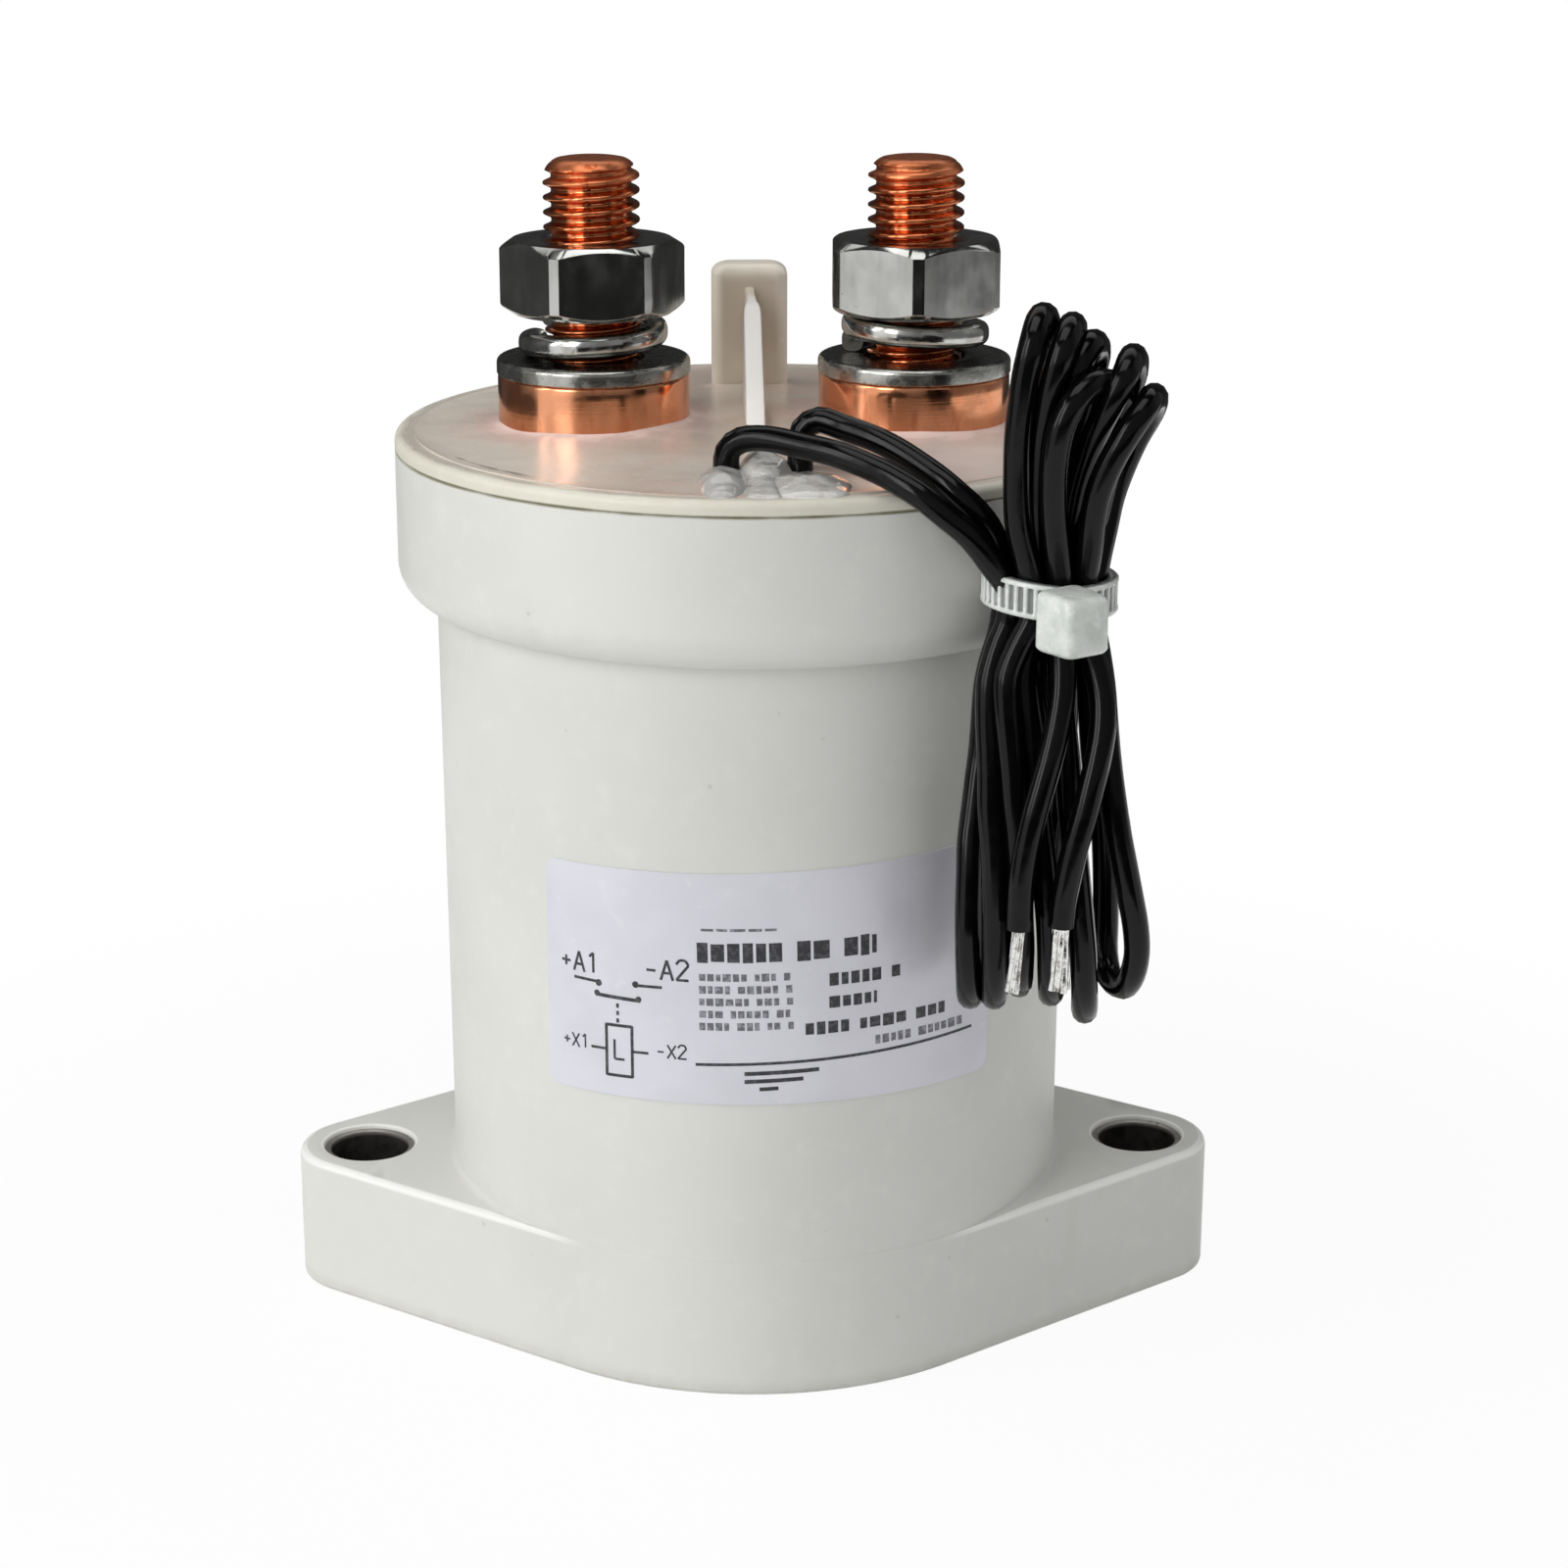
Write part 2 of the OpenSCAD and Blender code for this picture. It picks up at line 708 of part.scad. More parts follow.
module contact_spring() {
    wire_r = 0.6;
    color("lightsteelblue")
        swept(helix(shaft_d / 2 + 2.4, shoulder_top + wire_r, bridge_z - wire_r, 4, 56),
            round_section(wire_r, 6), [0, 0, 1]);
}

module retaining_clip() {
    mouth = shaft_d * 0.7;
    color("gray")
    translate([0, 0, clip_z])
        difference() {
            ring(shaft_d / 2 + 1.8, groove_r + fixed_gap, clip_t);
            translate([0, -mouth / 2, -over])
                cube([shaft_d * 2, mouth, clip_t + 2 * over]);
        }
}

module armature_shaft() {
    r = shaft_d / 2;
    tip = 0.5;
    color("lightgray")
    rotate_extrude($fn = 64)
        polygon([[0, shaft_z], [r, shaft_z], [r, shoulder_top - shoulder_t],
            [shoulder_r, shoulder_top - shoulder_t], [shoulder_r, shoulder_top],
            [r, shoulder_top], [r, clip_z], [groove_r, clip_z], [groove_r, clip_z + clip_t],
            [r, clip_z + clip_t], [r, shaft_top - tip], [r - tip, shaft_top], [0, shaft_top]]);
}

module plunger() {
    r = plunger_d / 2;
    edge = 0.6;
    pocket_floor = plunger_top - spring_pocket;
    bore_r = shaft_d / 2 + fixed_gap;
    color("darkgray")
    rotate_extrude($fn = 96)
        polygon([[0, plunger_z], [r - edge, plunger_z], [r, plunger_z + edge],
            [r, plunger_top - edge], [r - edge, plunger_top], [spring_pocket_d / 2, plunger_top],
            [spring_pocket_d / 2, pocket_floor], [bore_r, pocket_floor],
            [bore_r, shaft_z], [0, shaft_z]]);
}

module return_spring() {
    wire_r = 0.45;
    color("lightsteelblue")
        swept(helix(spring_pocket_d / 2 - 1.1, plunger_top - spring_pocket + wire_r,
            core_z + spring_pocket - wire_r, 6, 84), round_section(wire_r, 6), [0, 0, 1]);
}

module fixed_core() {
    r = plunger_d / 2;
    bore_r = shaft_d / 2 + slide_gap;
    pocket_r = spring_pocket_d / 2;
    top = core_flange_z + core_flange_t;
    color("darkgray")
    rotate_extrude($fn = 96)
        polygon([[pocket_r, core_z], [r, core_z], [r, core_flange_z],
            [core_flange_r, core_flange_z], [core_flange_r, top], [bore_r, top],
            [bore_r, core_z + spring_pocket], [pocket_r, core_z + spring_pocket]]);
}

module core_sleeve() {
    flange_r = core_flange_r - 0.5;
    color("silver")
    rotate_extrude($fn = 96)
        polygon([[0, bobbin_z], [sleeve_out, bobbin_z], [sleeve_out, plate_top],
            [flange_r, plate_top], [flange_r, core_flange_z], [sleeve_in, core_flange_z],
            [sleeve_in, sleeve_floor], [0, sleeve_floor]]);
}

module yoke_plate() {
    plate_r = cavity_r - 0.6;
    color("slategray")
    difference() {
        translate([0, 0, plate_z])
            ring(plate_r, sleeve_out + slide_gap, plate_t);
        translate([-8, -plate_r - over, plate_z - over])
            cube([16, plate_r - 21, plate_t + 2 * over]);
    }
}

module yoke_frame() {
    half = yoke_span / 2;
    color("slategray")
    translate([0, yoke_w / 2, 0])
        rotate([90, 0, 0])
            linear_extrude(yoke_w)
                polygon([[-half, floor_t], [half, floor_t], [half, plate_z],
                    [half - yoke_t, plate_z], [half - yoke_t, bobbin_z],
                    [yoke_t - half, bobbin_z], [yoke_t - half, plate_z], [-half, plate_z]]);
}

module bobbin() {
    tube_r = bobbin_in + bobbin_t;
    outer = bobbin_d / 2;
    low = bobbin_z + bobbin_flange_t;
    high = bobbin_top - bobbin_flange_t;
    color("darkolivegreen")
    rotate_extrude($fn = 96)
        polygon([[bobbin_in, bobbin_z], [outer, bobbin_z], [outer, low], [tube_r, low],
            [tube_r, high], [outer, high], [outer, bobbin_top], [bobbin_in, bobbin_top]]);
}

module coil_winding() {
    color("sienna")
    translate([0, 0, bobbin_z + bobbin_flange_t])
        ring(winding_d / 2, bobbin_in + bobbin_t, bobbin_top - bobbin_z - 2 * bobbin_flange_t);
}

module label() {
    rise = body_draft / (head_z - foot_t);
    low_r = body_r + rise * (label_z - foot_t) + slide_gap;
    high_r = low_r + rise * label_h;
    color("white")
    rotate(label_mid - label_angle / 2)
        rotate_extrude(angle = label_angle, $fn = 180)
            polygon([[low_r, label_z], [low_r + label_t, label_z],
                [high_r + label_t, label_z + label_h], [high_r, label_z + label_h]]);
}

module lead(i, route) {
    x = lead_exit[i][0];
    y = lead_exit[i][1];
    buried = [[x, y, lead_foot], [x, y, cover_z], lead_exit[i]];
    color("black")
        swept(concat(buried, [for (p = route) carried(p)]), round_section(lead_r, 8),
            [0.4, 0.9, 0]);
}

// One lobe of the hank: its outline tapers from the waist to the folds of the loops
module hank_lobe(folds, waist_end, depth) {
    reach = waist_r - 0.3;
    translate([waist[0], hank_front + depth, waist[2]])
        rotate([90, 0, 0])
            linear_extrude(depth)
                hull() {
                    translate([-reach, waist_end - 0.5])
                        square([2 * reach, 1]);
                    for (f = folds)
                        translate([f[0], f[1]])
                            circle(r = f[2], $fn = 32);
                }
}

module lead_hank() {
    color("black") {
        translate([waist[0], waist[1], waist[2] - waist_down])
            cylinder(h = waist_down + waist_up, r = waist_r, $fn = 64);
        hank_lobe(upper_folds, waist_up, upper_depth);
        hank_lobe(lower_folds, -waist_down, lower_depth);
    }
}

module cable_tie() {
    head_w = 5.2;
    head_h = 5.8;
    head_corner = 0.7;
    head_turn = 34;
    head_at = [1.2, -waist_r - 3.4, -head_h / 2];
    strap_lift = 0.7;
    strap_in = waist_r + slide_gap;
    color("white")
    translate(waist) {
        translate([0, 0, strap_lift - tie_w / 2])
            ring(strap_in + tie_t, strap_in, tie_w);
        translate(head_at)
            rotate(head_turn)
                rounded_plate(head_w / 2, head_w / 2, head_corner, head_h);
    }
}

module lead_end(i) {
    color("lightgray")
    translate([waist[0] + end_tops[i][0], hank_front - strand_d / 2 - slide_gap,
        waist[2] + end_tops[i][1] - end_l])
        cylinder(h = end_l, d = strand_d, $fn = 32);
}

housing();
rim_ring();
cover_barrier();
potting();
seal_dab(0);  // seal_dab_1
seal_dab(1);  // seal_dab_2
mounting_bush(-1);  // mounting_bush_left
mounting_bush(1);  // mounting_bush_right
terminal(-1);  // terminal_left
terminal(1);  // terminal_right
flat_washer(-1);  // flat_washer_left
flat_washer(1);  // flat_washer_right
spring_washer(-1, 172, 1);  // spring_washer_left
spring_washer(1, 168, -1);  // spring_washer_right
hex_nut(-1, 7);  // hex_nut_left
hex_nut(1, 31.5);  // hex_nut_right
ceramic_chamber();
weld_ring();
arc_tray();
gas_tube();
magnet(-1);  // magnet_front
magnet(1);  // magnet_back
magnet_ring();
contact_bridge();
contact_spring();
retaining_clip();
armature_shaft();
plunger();
return_spring();
fixed_core();
core_sleeve();
yoke_plate();
yoke_frame();
bobbin();
coil_winding();
label();
lead(0, lead_1_route);  // lead_1
lead(1, lead_2_route);  // lead_2
lead_hank();
cable_tie();
lead_end(0);  // lead_end_1
lead_end(1);  // lead_end_2
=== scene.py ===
import math

import bmesh
import bpy
import numpy as np
from mathutils import Matrix, Vector, noise
from mathutils.geometry import delaunay_2d_cdt


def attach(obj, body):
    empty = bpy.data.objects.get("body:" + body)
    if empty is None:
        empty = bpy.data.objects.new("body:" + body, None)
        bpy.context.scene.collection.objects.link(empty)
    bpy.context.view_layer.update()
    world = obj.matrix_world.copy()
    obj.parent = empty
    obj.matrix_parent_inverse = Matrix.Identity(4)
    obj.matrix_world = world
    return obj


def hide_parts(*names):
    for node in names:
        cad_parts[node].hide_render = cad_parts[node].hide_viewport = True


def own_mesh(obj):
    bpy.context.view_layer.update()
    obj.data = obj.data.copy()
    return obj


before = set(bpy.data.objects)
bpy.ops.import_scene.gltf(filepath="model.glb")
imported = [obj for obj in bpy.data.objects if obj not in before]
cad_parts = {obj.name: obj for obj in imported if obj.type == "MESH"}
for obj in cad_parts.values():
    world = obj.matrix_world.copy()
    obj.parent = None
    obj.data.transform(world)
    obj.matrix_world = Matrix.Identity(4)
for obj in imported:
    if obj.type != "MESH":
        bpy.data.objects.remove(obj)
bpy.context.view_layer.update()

# The object is written in millimetres and scaled once, on its way into Blender. The studio is in metres.
MM = 0.001

# ---------------------------------------------------------------- camera

EYE = (-9.644, -355.248, 164.48)
LOOK = (0.0345, 0.95576, -0.2921)
LOOK_RIGHT = (0.99937, -0.0355, 0.00189)
LOOK_UP = (0.00856, 0.29199, 0.95638)
FOCAL_PIXELS = 3530.64
FRAME_PIXELS = 1600
SENSOR = 36
NEAREST, FURTHEST = 0.01, 20

camera = bpy.data.objects.new("view_camera", bpy.data.cameras.new("view_camera"))
bpy.context.scene.collection.objects.link(camera)
camera.data.sensor_width = SENSOR
camera.data.lens = FOCAL_PIXELS / FRAME_PIXELS * SENSOR
camera.data.clip_start, camera.data.clip_end = NEAREST, FURTHEST
camera.matrix_world = Matrix(
    [[LOOK_RIGHT[k], LOOK_UP[k], -LOOK[k], EYE[k] * MM] for k in range(3)] + [[0, 0, 0, 1]]
)
bpy.context.scene.camera = camera

# ---------------------------------------------------------------- materials

X, Y, Z = 0, 1, 2
EVEN = (1, 1, 1)
UPRIGHT = (1, 1, 0)  # a stretch that keeps a pattern the same at every height
STUD_X = 16.6
SEAT_Z = 100.7
WASHER_T = 1.7
WAIST = (27.3, -34.4, 84.6)


def rgb(r, g, b):
    """A colour as it looks on a screen, 0 to 255, for a shader socket."""
    return tuple(((c / 255 + 0.055) / 1.055) ** 2.4 if c > 10 else c / 255 / 12.92 for c in (r, g, b)) + (1,)


def new_node(tree, kind, inputs=(), operation=None, data_type=None):
    """A shader node whose inputs are set to values or linked to the outputs of other nodes."""
    node = tree.nodes.new("ShaderNode" + kind)
    if operation:
        node.operation = operation
    if data_type:
        node.data_type = data_type
    for key, value in dict(inputs).items():
        if isinstance(value, bpy.types.NodeSocket):
            tree.links.new(value, node.inputs[key])
        else:
            node.inputs[key].default_value = value
    return node


class Paint:
    """A node material, built up in layers over the object's own millimetres."""

    def __init__(self, name, base, rough, **sockets):
        self.mat = bpy.data.materials.new(name)
        self.mat.use_nodes = True
        self.tree = self.mat.node_tree
        self.bsdf = self.tree.nodes["Principled BSDF"]
        self.colour, self.rough, self.bump = rgb(*base), rough, None
        sockets.update(Base_Color=self.colour, Roughness=rough)
        for key, value in sockets.items():
            self.bsdf.inputs[key.replace("_", " ")].default_value = value
        coord = self.node("TexCoord")
        self.place = self.node("VectorMath", {0: coord.outputs["Object"], "Scale": 1 / MM}, "SCALE").outputs[0]

    def node(self, kind, inputs=(), operation=None, data_type=None):
        return new_node(self.tree, kind, inputs, operation, data_type)

    def at(self, stretch=EVEN, shift=(0, 0, 0)):
        return self.node("Mapping", {"Vector": self.place, "Scale": stretch, "Location": shift}).outputs[0]

    def noise(self, size, stretch=EVEN, shift=(0, 0, 0), detail=3, twist=0):
        """Grey noise with features about size millimetres across."""
        place = self.at(stretch, shift)
        inputs = {"Vector": place, "Scale": 1 / size, "Detail": detail, "Distortion": twist}
        return self.node("TexNoise", inputs).outputs[0]

    def ramp(self, value, low, high, start=0, end=1):
        """Goes smoothly from start to end where a value goes from low to high."""
        inputs = {"Value": value, "From Min": low, "From Max": high, "To Min": start, "To Max": end}
        node = self.node("MapRange", inputs)
        node.interpolation_type = "SMOOTHSTEP"
        return node.outputs[0]

    def calc(self, kind, *values):
        return self.node("Math", enumerate(values), kind).outputs[0]

    def both(self, *masks):
        return self.calc("MULTIPLY", *masks)

    def axis(self, k):
        return self.node("SeparateXYZ", {0: self.place}).outputs[k]

    def along(self, k, *steps):
        """A ramp over the place on an axis."""
        return self.ramp(self.axis(k), *steps)

    def away(self, x, y):
        """Distance from the upright line through x, y."""
        return self.node("VectorMath", {0: self.at(UPRIGHT), 1: (x, y, 0)}, "DISTANCE").outputs["Value"]

    def ragged(self, value, size, low, high, **how):
        """A value that noise shifts by low to high."""
        return self.calc("ADD", value, self.ramp(self.noise(size, **how), 0.3, 0.7, low, high))

    def tint(self, mask, colour):
        """Lays a colour over what is there, by a mask."""
        node = self.node("Mix", {0: mask, 6: self.colour, 7: rgb(*colour)}, data_type="RGBA")
        self.colour = node.outputs[2]
        self.tree.links.new(self.colour, self.bsdf.inputs["Base Color"])

    def gloss(self, mask, rough):
        """Moves the roughness towards a value, by a mask."""
        self.rough = self.node("Mix", {0: mask, 2: self.rough, 3: rough}, data_type="FLOAT").outputs[0]
        self.tree.links.new(self.rough, self.bsdf.inputs["Roughness"])

    def patches(self, size, low, high, colour, most=1, **how):
        """Lays a colour over what is there, in patches of noise, at most by a share."""
        self.tint(self.ramp(self.noise(size, **how), low, high, 0, most), colour)

    def specks(self, size, low, high, colour, most, shift):
        """Lays small round specks of a colour, about size millimetres apart."""
        cells = self.node("TexVoronoi", {"Vector": self.at(EVEN, shift), "Scale": 1 / size})
        self.tint(self.ramp(cells.outputs["Distance"], low, high, 0, most), colour)

    def dull(self, size, low, high, rough, **how):
        """Moves the roughness towards a value, in patches of noise."""
        self.gloss(self.ramp(self.noise(size, **how), low, high), rough)

    def grain(self, size, depth, **how):
        """Adds a bump with noise of that size and depth in millimetres."""
        inputs = {"Height": self.noise(size, **how), "Strength": 1, "Distance": depth * MM}
        if self.bump:
            inputs["Normal"] = self.bump
        self.bump = self.node("Bump", inputs).outputs[0]
        self.tree.links.new(self.bump, self.bsdf.inputs["Normal"])


def cloudy(weight, depth):
    """Sockets of a moulding that light goes into, to a depth in millimetres."""
    return {"Subsurface_Weight": weight, "Subsurface_Radius": (1, 1, 1), "Subsurface_Scale": depth * MM}


def housing_paint(name, body, shade, bright):
    p = Paint(name, body, 0.44, Specular_IOR_Level=0.4)
    p.patches(30, 0.36, 0.66, shade, detail=2)
    p.patches(2.4, 0.5, 0.8, bright, 0.5, detail=4)
    p.patches(6.5, 0.62, 0.8, (200, 199, 188), 0.25, stretch=(1, 1, 0.3), shift=(7, 1, 3), detail=5)
    p.specks(7.5, 0.045, 0.02, (170, 166, 152), 0.3, (2, 5, 9))
    p.dull(7, 0.35, 0.7, 0.54)
    p.grain(0.45, 0.01)
    p.grain(11, 0.06, detail=1)
    return p


def joint_dirt(p):
    return p.ramp(p.noise(6, UPRIGHT), 0.3, 0.6, 0.4, 1)


def make_paints():
    made = {}
    p = made["housing"] = housing_paint("moulded_ivory", (223, 223, 218), (217, 218, 212), (228, 227, 222))
    # grime low on the foot
    p.tint(p.both(p.along(Z, 2.2, 0.2, 0, 0.4), p.noise(2.5, detail=4)), (150, 146, 130))
    # painted highlight: the rounded upper edge of the foot's wings is painted bright and made glossier, where it
    # catches the light
    wing_edge_highlight = p.both(p.along(Z, 14.2, 14.6), p.along(Z, 14.998, 14.98))
    wing_edge_highlight = p.both(wing_edge_highlight, p.ramp(p.calc("ABSOLUTE", p.axis(X)), 18, 23))
    p.tint(wing_edge_highlight, (246, 246, 242))
    p.gloss(wing_edge_highlight, 0.3)
    # dirt in the joint line under the rim
    groove = p.both(p.along(Z, 93.15, 93.3), p.along(Z, 93.75, 93.5))
    p.tint(p.both(groove, joint_dirt(p)), (158, 155, 136))

    p = made["rim"] = housing_paint("moulded_rim", (224, 221, 206), (217, 214, 199), (231, 228, 215))
    p.tint(p.both(p.along(Z, 93.7, 93.5), joint_dirt(p)), (150, 146, 122))
    # a film of resin that has run over the rim's flat top
    film = p.ragged(p.away(0, 0), 5, -0.4, 0.4, stretch=UPRIGHT, detail=2)
    p.tint(p.ramp(film, 37.0, 35.9, 0, 0.85), (212, 203, 191))
    p.gloss(p.ramp(film, 37.0, 36.0), 0.26)

    p = made["barrier"] = Paint("barrier_moulding", (240, 233, 218), 0.36, **cloudy(0.2, 1))
    p.patches(6, 0.4, 0.65, (232, 224, 209), detail=2)
    p.patches(1.4, 0.6, 0.75, (244, 238, 225), 0.5, detail=4)
    # painted shade: the middle of the post, where it is thicker, is painted darker than its edges, more so higher
    # up, for the light the thin edges let through
    post_painted_shade = p.both(p.ramp(p.calc("ABSOLUTE", p.axis(X)), 3.5, 2.5), p.along(Z, 108.2, 107.0))
    p.tint(p.both(post_painted_shade, p.along(Z, 97, 103, 0.2, 0.75)), (208, 197, 180))
    # painted light: the thin fin is painted paler than the thick post, for the light that comes through it
    p.tint(p.both(p.along(Y, 14.5, 9.5), p.along(Z, 94.4, 95.4)), (252, 249, 242))
    p.dull(3, 0.4, 0.7, 0.48)
    p.grain(0.6, 0.015)

    p = made["resin"] = Paint(
        "cast_resin", (212, 202, 190), 0.3, Coat_Weight=0.25, Coat_Roughness=0.2, Specular_IOR_Level=0.5
    )
    p.patches(11, 0.38, 0.62, (214, 196, 183), stretch=(1, 1.4, 1), detail=2, twist=0.8)
    p.patches(3.2, 0.56, 0.7, (194, 180, 164), 0.45, stretch=(1, 2.2, 1), shift=(4, 0, 0), detail=4, twist=0.6)
    p.patches(1.1, 0.6, 0.75, (226, 219, 210), 0.4, shift=(3, 3, 0), detail=4)
    # painted light: the resin is painted paler towards the left, where the light falls
    p.tint(p.along(X, -9, -24, 0, 0.9), (234, 225, 212))
    p.tint(p.ramp(p.away(24, -22), 15, 5, 0, 0.7), (236, 220, 212))
    # painted shade: a darker patch in the front middle, between the studs, where their shade falls
    p.tint(p.ramp(p.away(-1, -10), 13, 4, 0, 0.6), (186, 166, 150))
    for side in (-1, 1):
        near = p.ragged(p.away(side * STUD_X, 0), 2.5, -1.2, 1.2)
        p.tint(p.ramp(near, 15.5, 10.6, 0, 0.8), (226, 202, 194))
        p.tint(p.ramp(near, 11.6, 10.2), (238, 216, 208))
    # a thin brown line along the left front, just inside the rim
    bow = p.ragged(p.calc("ABSOLUTE", p.calc("SUBTRACT", p.away(0, 0), 33.9)), 2.4, -0.1, 0.25)
    part = p.both(p.along(X, -21, -24.5), p.along(Y, -14.5, -17.5))
    p.tint(p.both(p.ramp(bow, 0.42, 0.1, 0, 0.75), part), (128, 110, 92))
    p.dull(4.5, 0.5, 0.75, 0.32, detail=4)
    p.grain(5.5, 0.14, detail=2, twist=0.5)
    p.grain(0.9, 0.03, detail=4)

    p = made["seal"] = Paint(
        "seal_compound", (216, 214, 209), 0.16, Coat_Weight=0.6, Coat_Roughness=0.06, **cloudy(0.3, 1)
    )
    p.patches(1.6, 0.42, 0.62, (196, 192, 186))
    p.patches(0.7, 0.58, 0.72, (232, 230, 226), 0.8, shift=(3, 3, 3), detail=2)
    # the dab round the first lead is greyer
    p.tint(p.along(X, -1.0, -2.2, 0, 0.8), (178, 177, 174))
    p.grain(1.1, 0.05)

    p = made["copper"] = Paint("turned_copper", (236, 164, 124), 0.15, Metallic=1)
    p.patches(5, 0.42, 0.68, (224, 146, 104), stretch=(1, 1, 0.4))
    p.patches(1.1, 0.56, 0.76, (196, 112, 72), 0.6, stretch=(1, 1, 0.25), shift=(5, 2, 8), detail=4)
    # the threaded part is deeper in colour than the polished collar
    p.tint(p.along(Z, 101, 102.5, 0, 0.85), (214, 124, 80))
    p.tint(p.both(p.along(Z, 101, 102.5), p.ramp(p.noise(0.9, detail=4), 0.52, 0.72, 0, 0.8)), (150, 62, 34))
    p.specks(2.6, 0.06, 0.025, (128, 70, 46), 0.5, (1, 7, 2))
    p.dull(2.3, 0.45, 0.7, 0.26, shift=(2, 2, 2), detail=4)
    p.gloss(p.along(Z, 119.6, 120.6), 0.34)
    p.grain(0.22, 0.005, stretch=(0.04, 0.04, 1), detail=2)
    p.grain(1.4, 0.01, stretch=(1, 1, 0.3), detail=2)

    p = made["copper_inside"] = Paint("plain_copper", (222, 146, 108), 0.3, Metallic=1)
    p.patches(3, 0.4, 0.7, (186, 104, 70))
    p.dull(1.5, 0.4, 0.7, 0.42)
    p.grain(0.4, 0.01)

    p = made["nut"] = Paint("plated_nut", (190, 191, 188), 0.13, Metallic=1)
    p.patches(6, 0.4, 0.66, (172, 173, 168))
    p.patches(0.9, 0.5, 0.76, (150, 149, 143), 0.35, stretch=(1, 1, 0.12), shift=(3, 8, 1), detail=4)
    p.patches(2.2, 0.62, 0.8, (124, 121, 112), 0.3, stretch=(1, 1, 1.6), shift=(9, 2, 1), detail=5)
    p.specks(3.4, 0.04, 0.02, (96, 92, 80), 0.3, (4, 4, 4))
    p.dull(2.6, 0.42, 0.68, 0.2, stretch=(1, 1, 0.5), shift=(6, 1, 2))
    p.grain(0.5, 0.006, stretch=(1, 1, 0.2))
    p.grain(3.2, 0.02, detail=1)

    p = made["washer"] = Paint("plated_washer", (184, 184, 179), 0.2, Metallic=1)
    p.patches(3.4, 0.42, 0.66, (162, 161, 154))
    p.patches(0.7, 0.6, 0.74, (110, 104, 92), 0.7, stretch=(1, 1, 2), shift=(2, 6, 1), detail=4)
    # painted shade: the upper face is painted dark, for the shade and the dark reflections it shows
    p.tint(p.along(Z, SEAT_Z + WASHER_T - 0.25, SEAT_Z + WASHER_T, 0, 0.75), (92, 90, 86))
    p.dull(1.4, 0.42, 0.66, 0.32, detail=4)
    p.grain(0.45, 0.014)

    p = made["split"] = Paint("spring_steel_split", (200, 201, 198), 0.13, Metallic=1)
    p.patches(2.6, 0.44, 0.66, (172, 170, 162))
    p.patches(0.8, 0.62, 0.76, (104, 98, 86), 0.6, shift=(6, 2, 4), detail=4)
    p.dull(1.2, 0.42, 0.66, 0.22)
    p.grain(0.7, 0.012, detail=2)

    p = made["bush"] = Paint("bush_steel", (74, 71, 68), 0.36, Metallic=0.7)
    p.patches(2.2, 0.44, 0.66, (44, 42, 40), detail=4)
    # painted highlight: the top edge of the bush is painted bright, for the glints on its rim
    p.tint(p.along(Z, 13.9, 14.4, 0, 0.9), (176, 172, 166))
    p.patches(0.6, 0.62, 0.76, (96, 90, 82))
    p.dull(1.2, 0.4, 0.7, 0.5)
    p.grain(0.4, 0.015)

    p = made["label"] = Paint("label_film", (220, 220, 228), 0.3, Coat_Weight=0.25, Coat_Roughness=0.12)
    p.patches(9, 0.4, 0.65, (214, 214, 222), detail=2)
    p.patches(1.9, 0.6, 0.76, (228, 227, 233), 0.5, detail=4)
    p.dull(5, 0.4, 0.7, 0.4)
    p.grain(4, 0.03, detail=2)

    for name, mat, base, low, high, faded in (
        ("ink", "label_ink", (44, 44, 50), 0.46, 0.66, (78, 78, 84)),
        ("ink_pale", "label_ink_pale", (104, 104, 110), 0.44, 0.62, (148, 148, 156)),
    ):
        p = made[name] = Paint(mat, base, 0.42)
        p.patches(0.5, low, high, faded)
        p.dull(1.0, 0.4, 0.7, 0.55)

    p = made["lead"] = Paint("lead_jacket", (6, 6, 7), 0.14, Specular_IOR_Level=0.22)
    p.patches(5, 0.45, 0.7, (10, 10, 11))
    p.patches(0.8, 0.68, 0.8, (40, 39, 38), 0.3, shift=(1, 4, 4), detail=4)
    p.dull(2.4, 0.46, 0.7, 0.26)
    p.grain(1.6, 0.012, detail=2)

    p = made["tin"] = Paint("tinned_strands", (232, 232, 230), 0.16, Metallic=1)
    p.patches(0.7, 0.46, 0.68, (180, 177, 170), detail=4)
    p.dull(0.5, 0.4, 0.7, 0.3)
    p.grain(0.5, 0.03)

    p = made["nylon"] = Paint(
        "natural_nylon", (222, 226, 221), 0.24, Coat_Weight=0.25, Coat_Roughness=0.1, **cloudy(0.5, 1.5)
    )
    p.patches(2.4, 0.42, 0.66, (206, 212, 206))
    p.patches(1.0, 0.56, 0.7, (238, 239, 234), 0.6, shift=(2, 0, 4), detail=2)
    # painted shade: the webs between the strap's teeth lie deep and are painted dark, for the shade in them
    p.tint(p.ramp(p.away(*WAIST[:2]), 6.52, 6.3, 0, 0.9), (134, 136, 136))
    p.dull(1.3, 0.4, 0.7, 0.36)
    p.grain(1.0, 0.04)

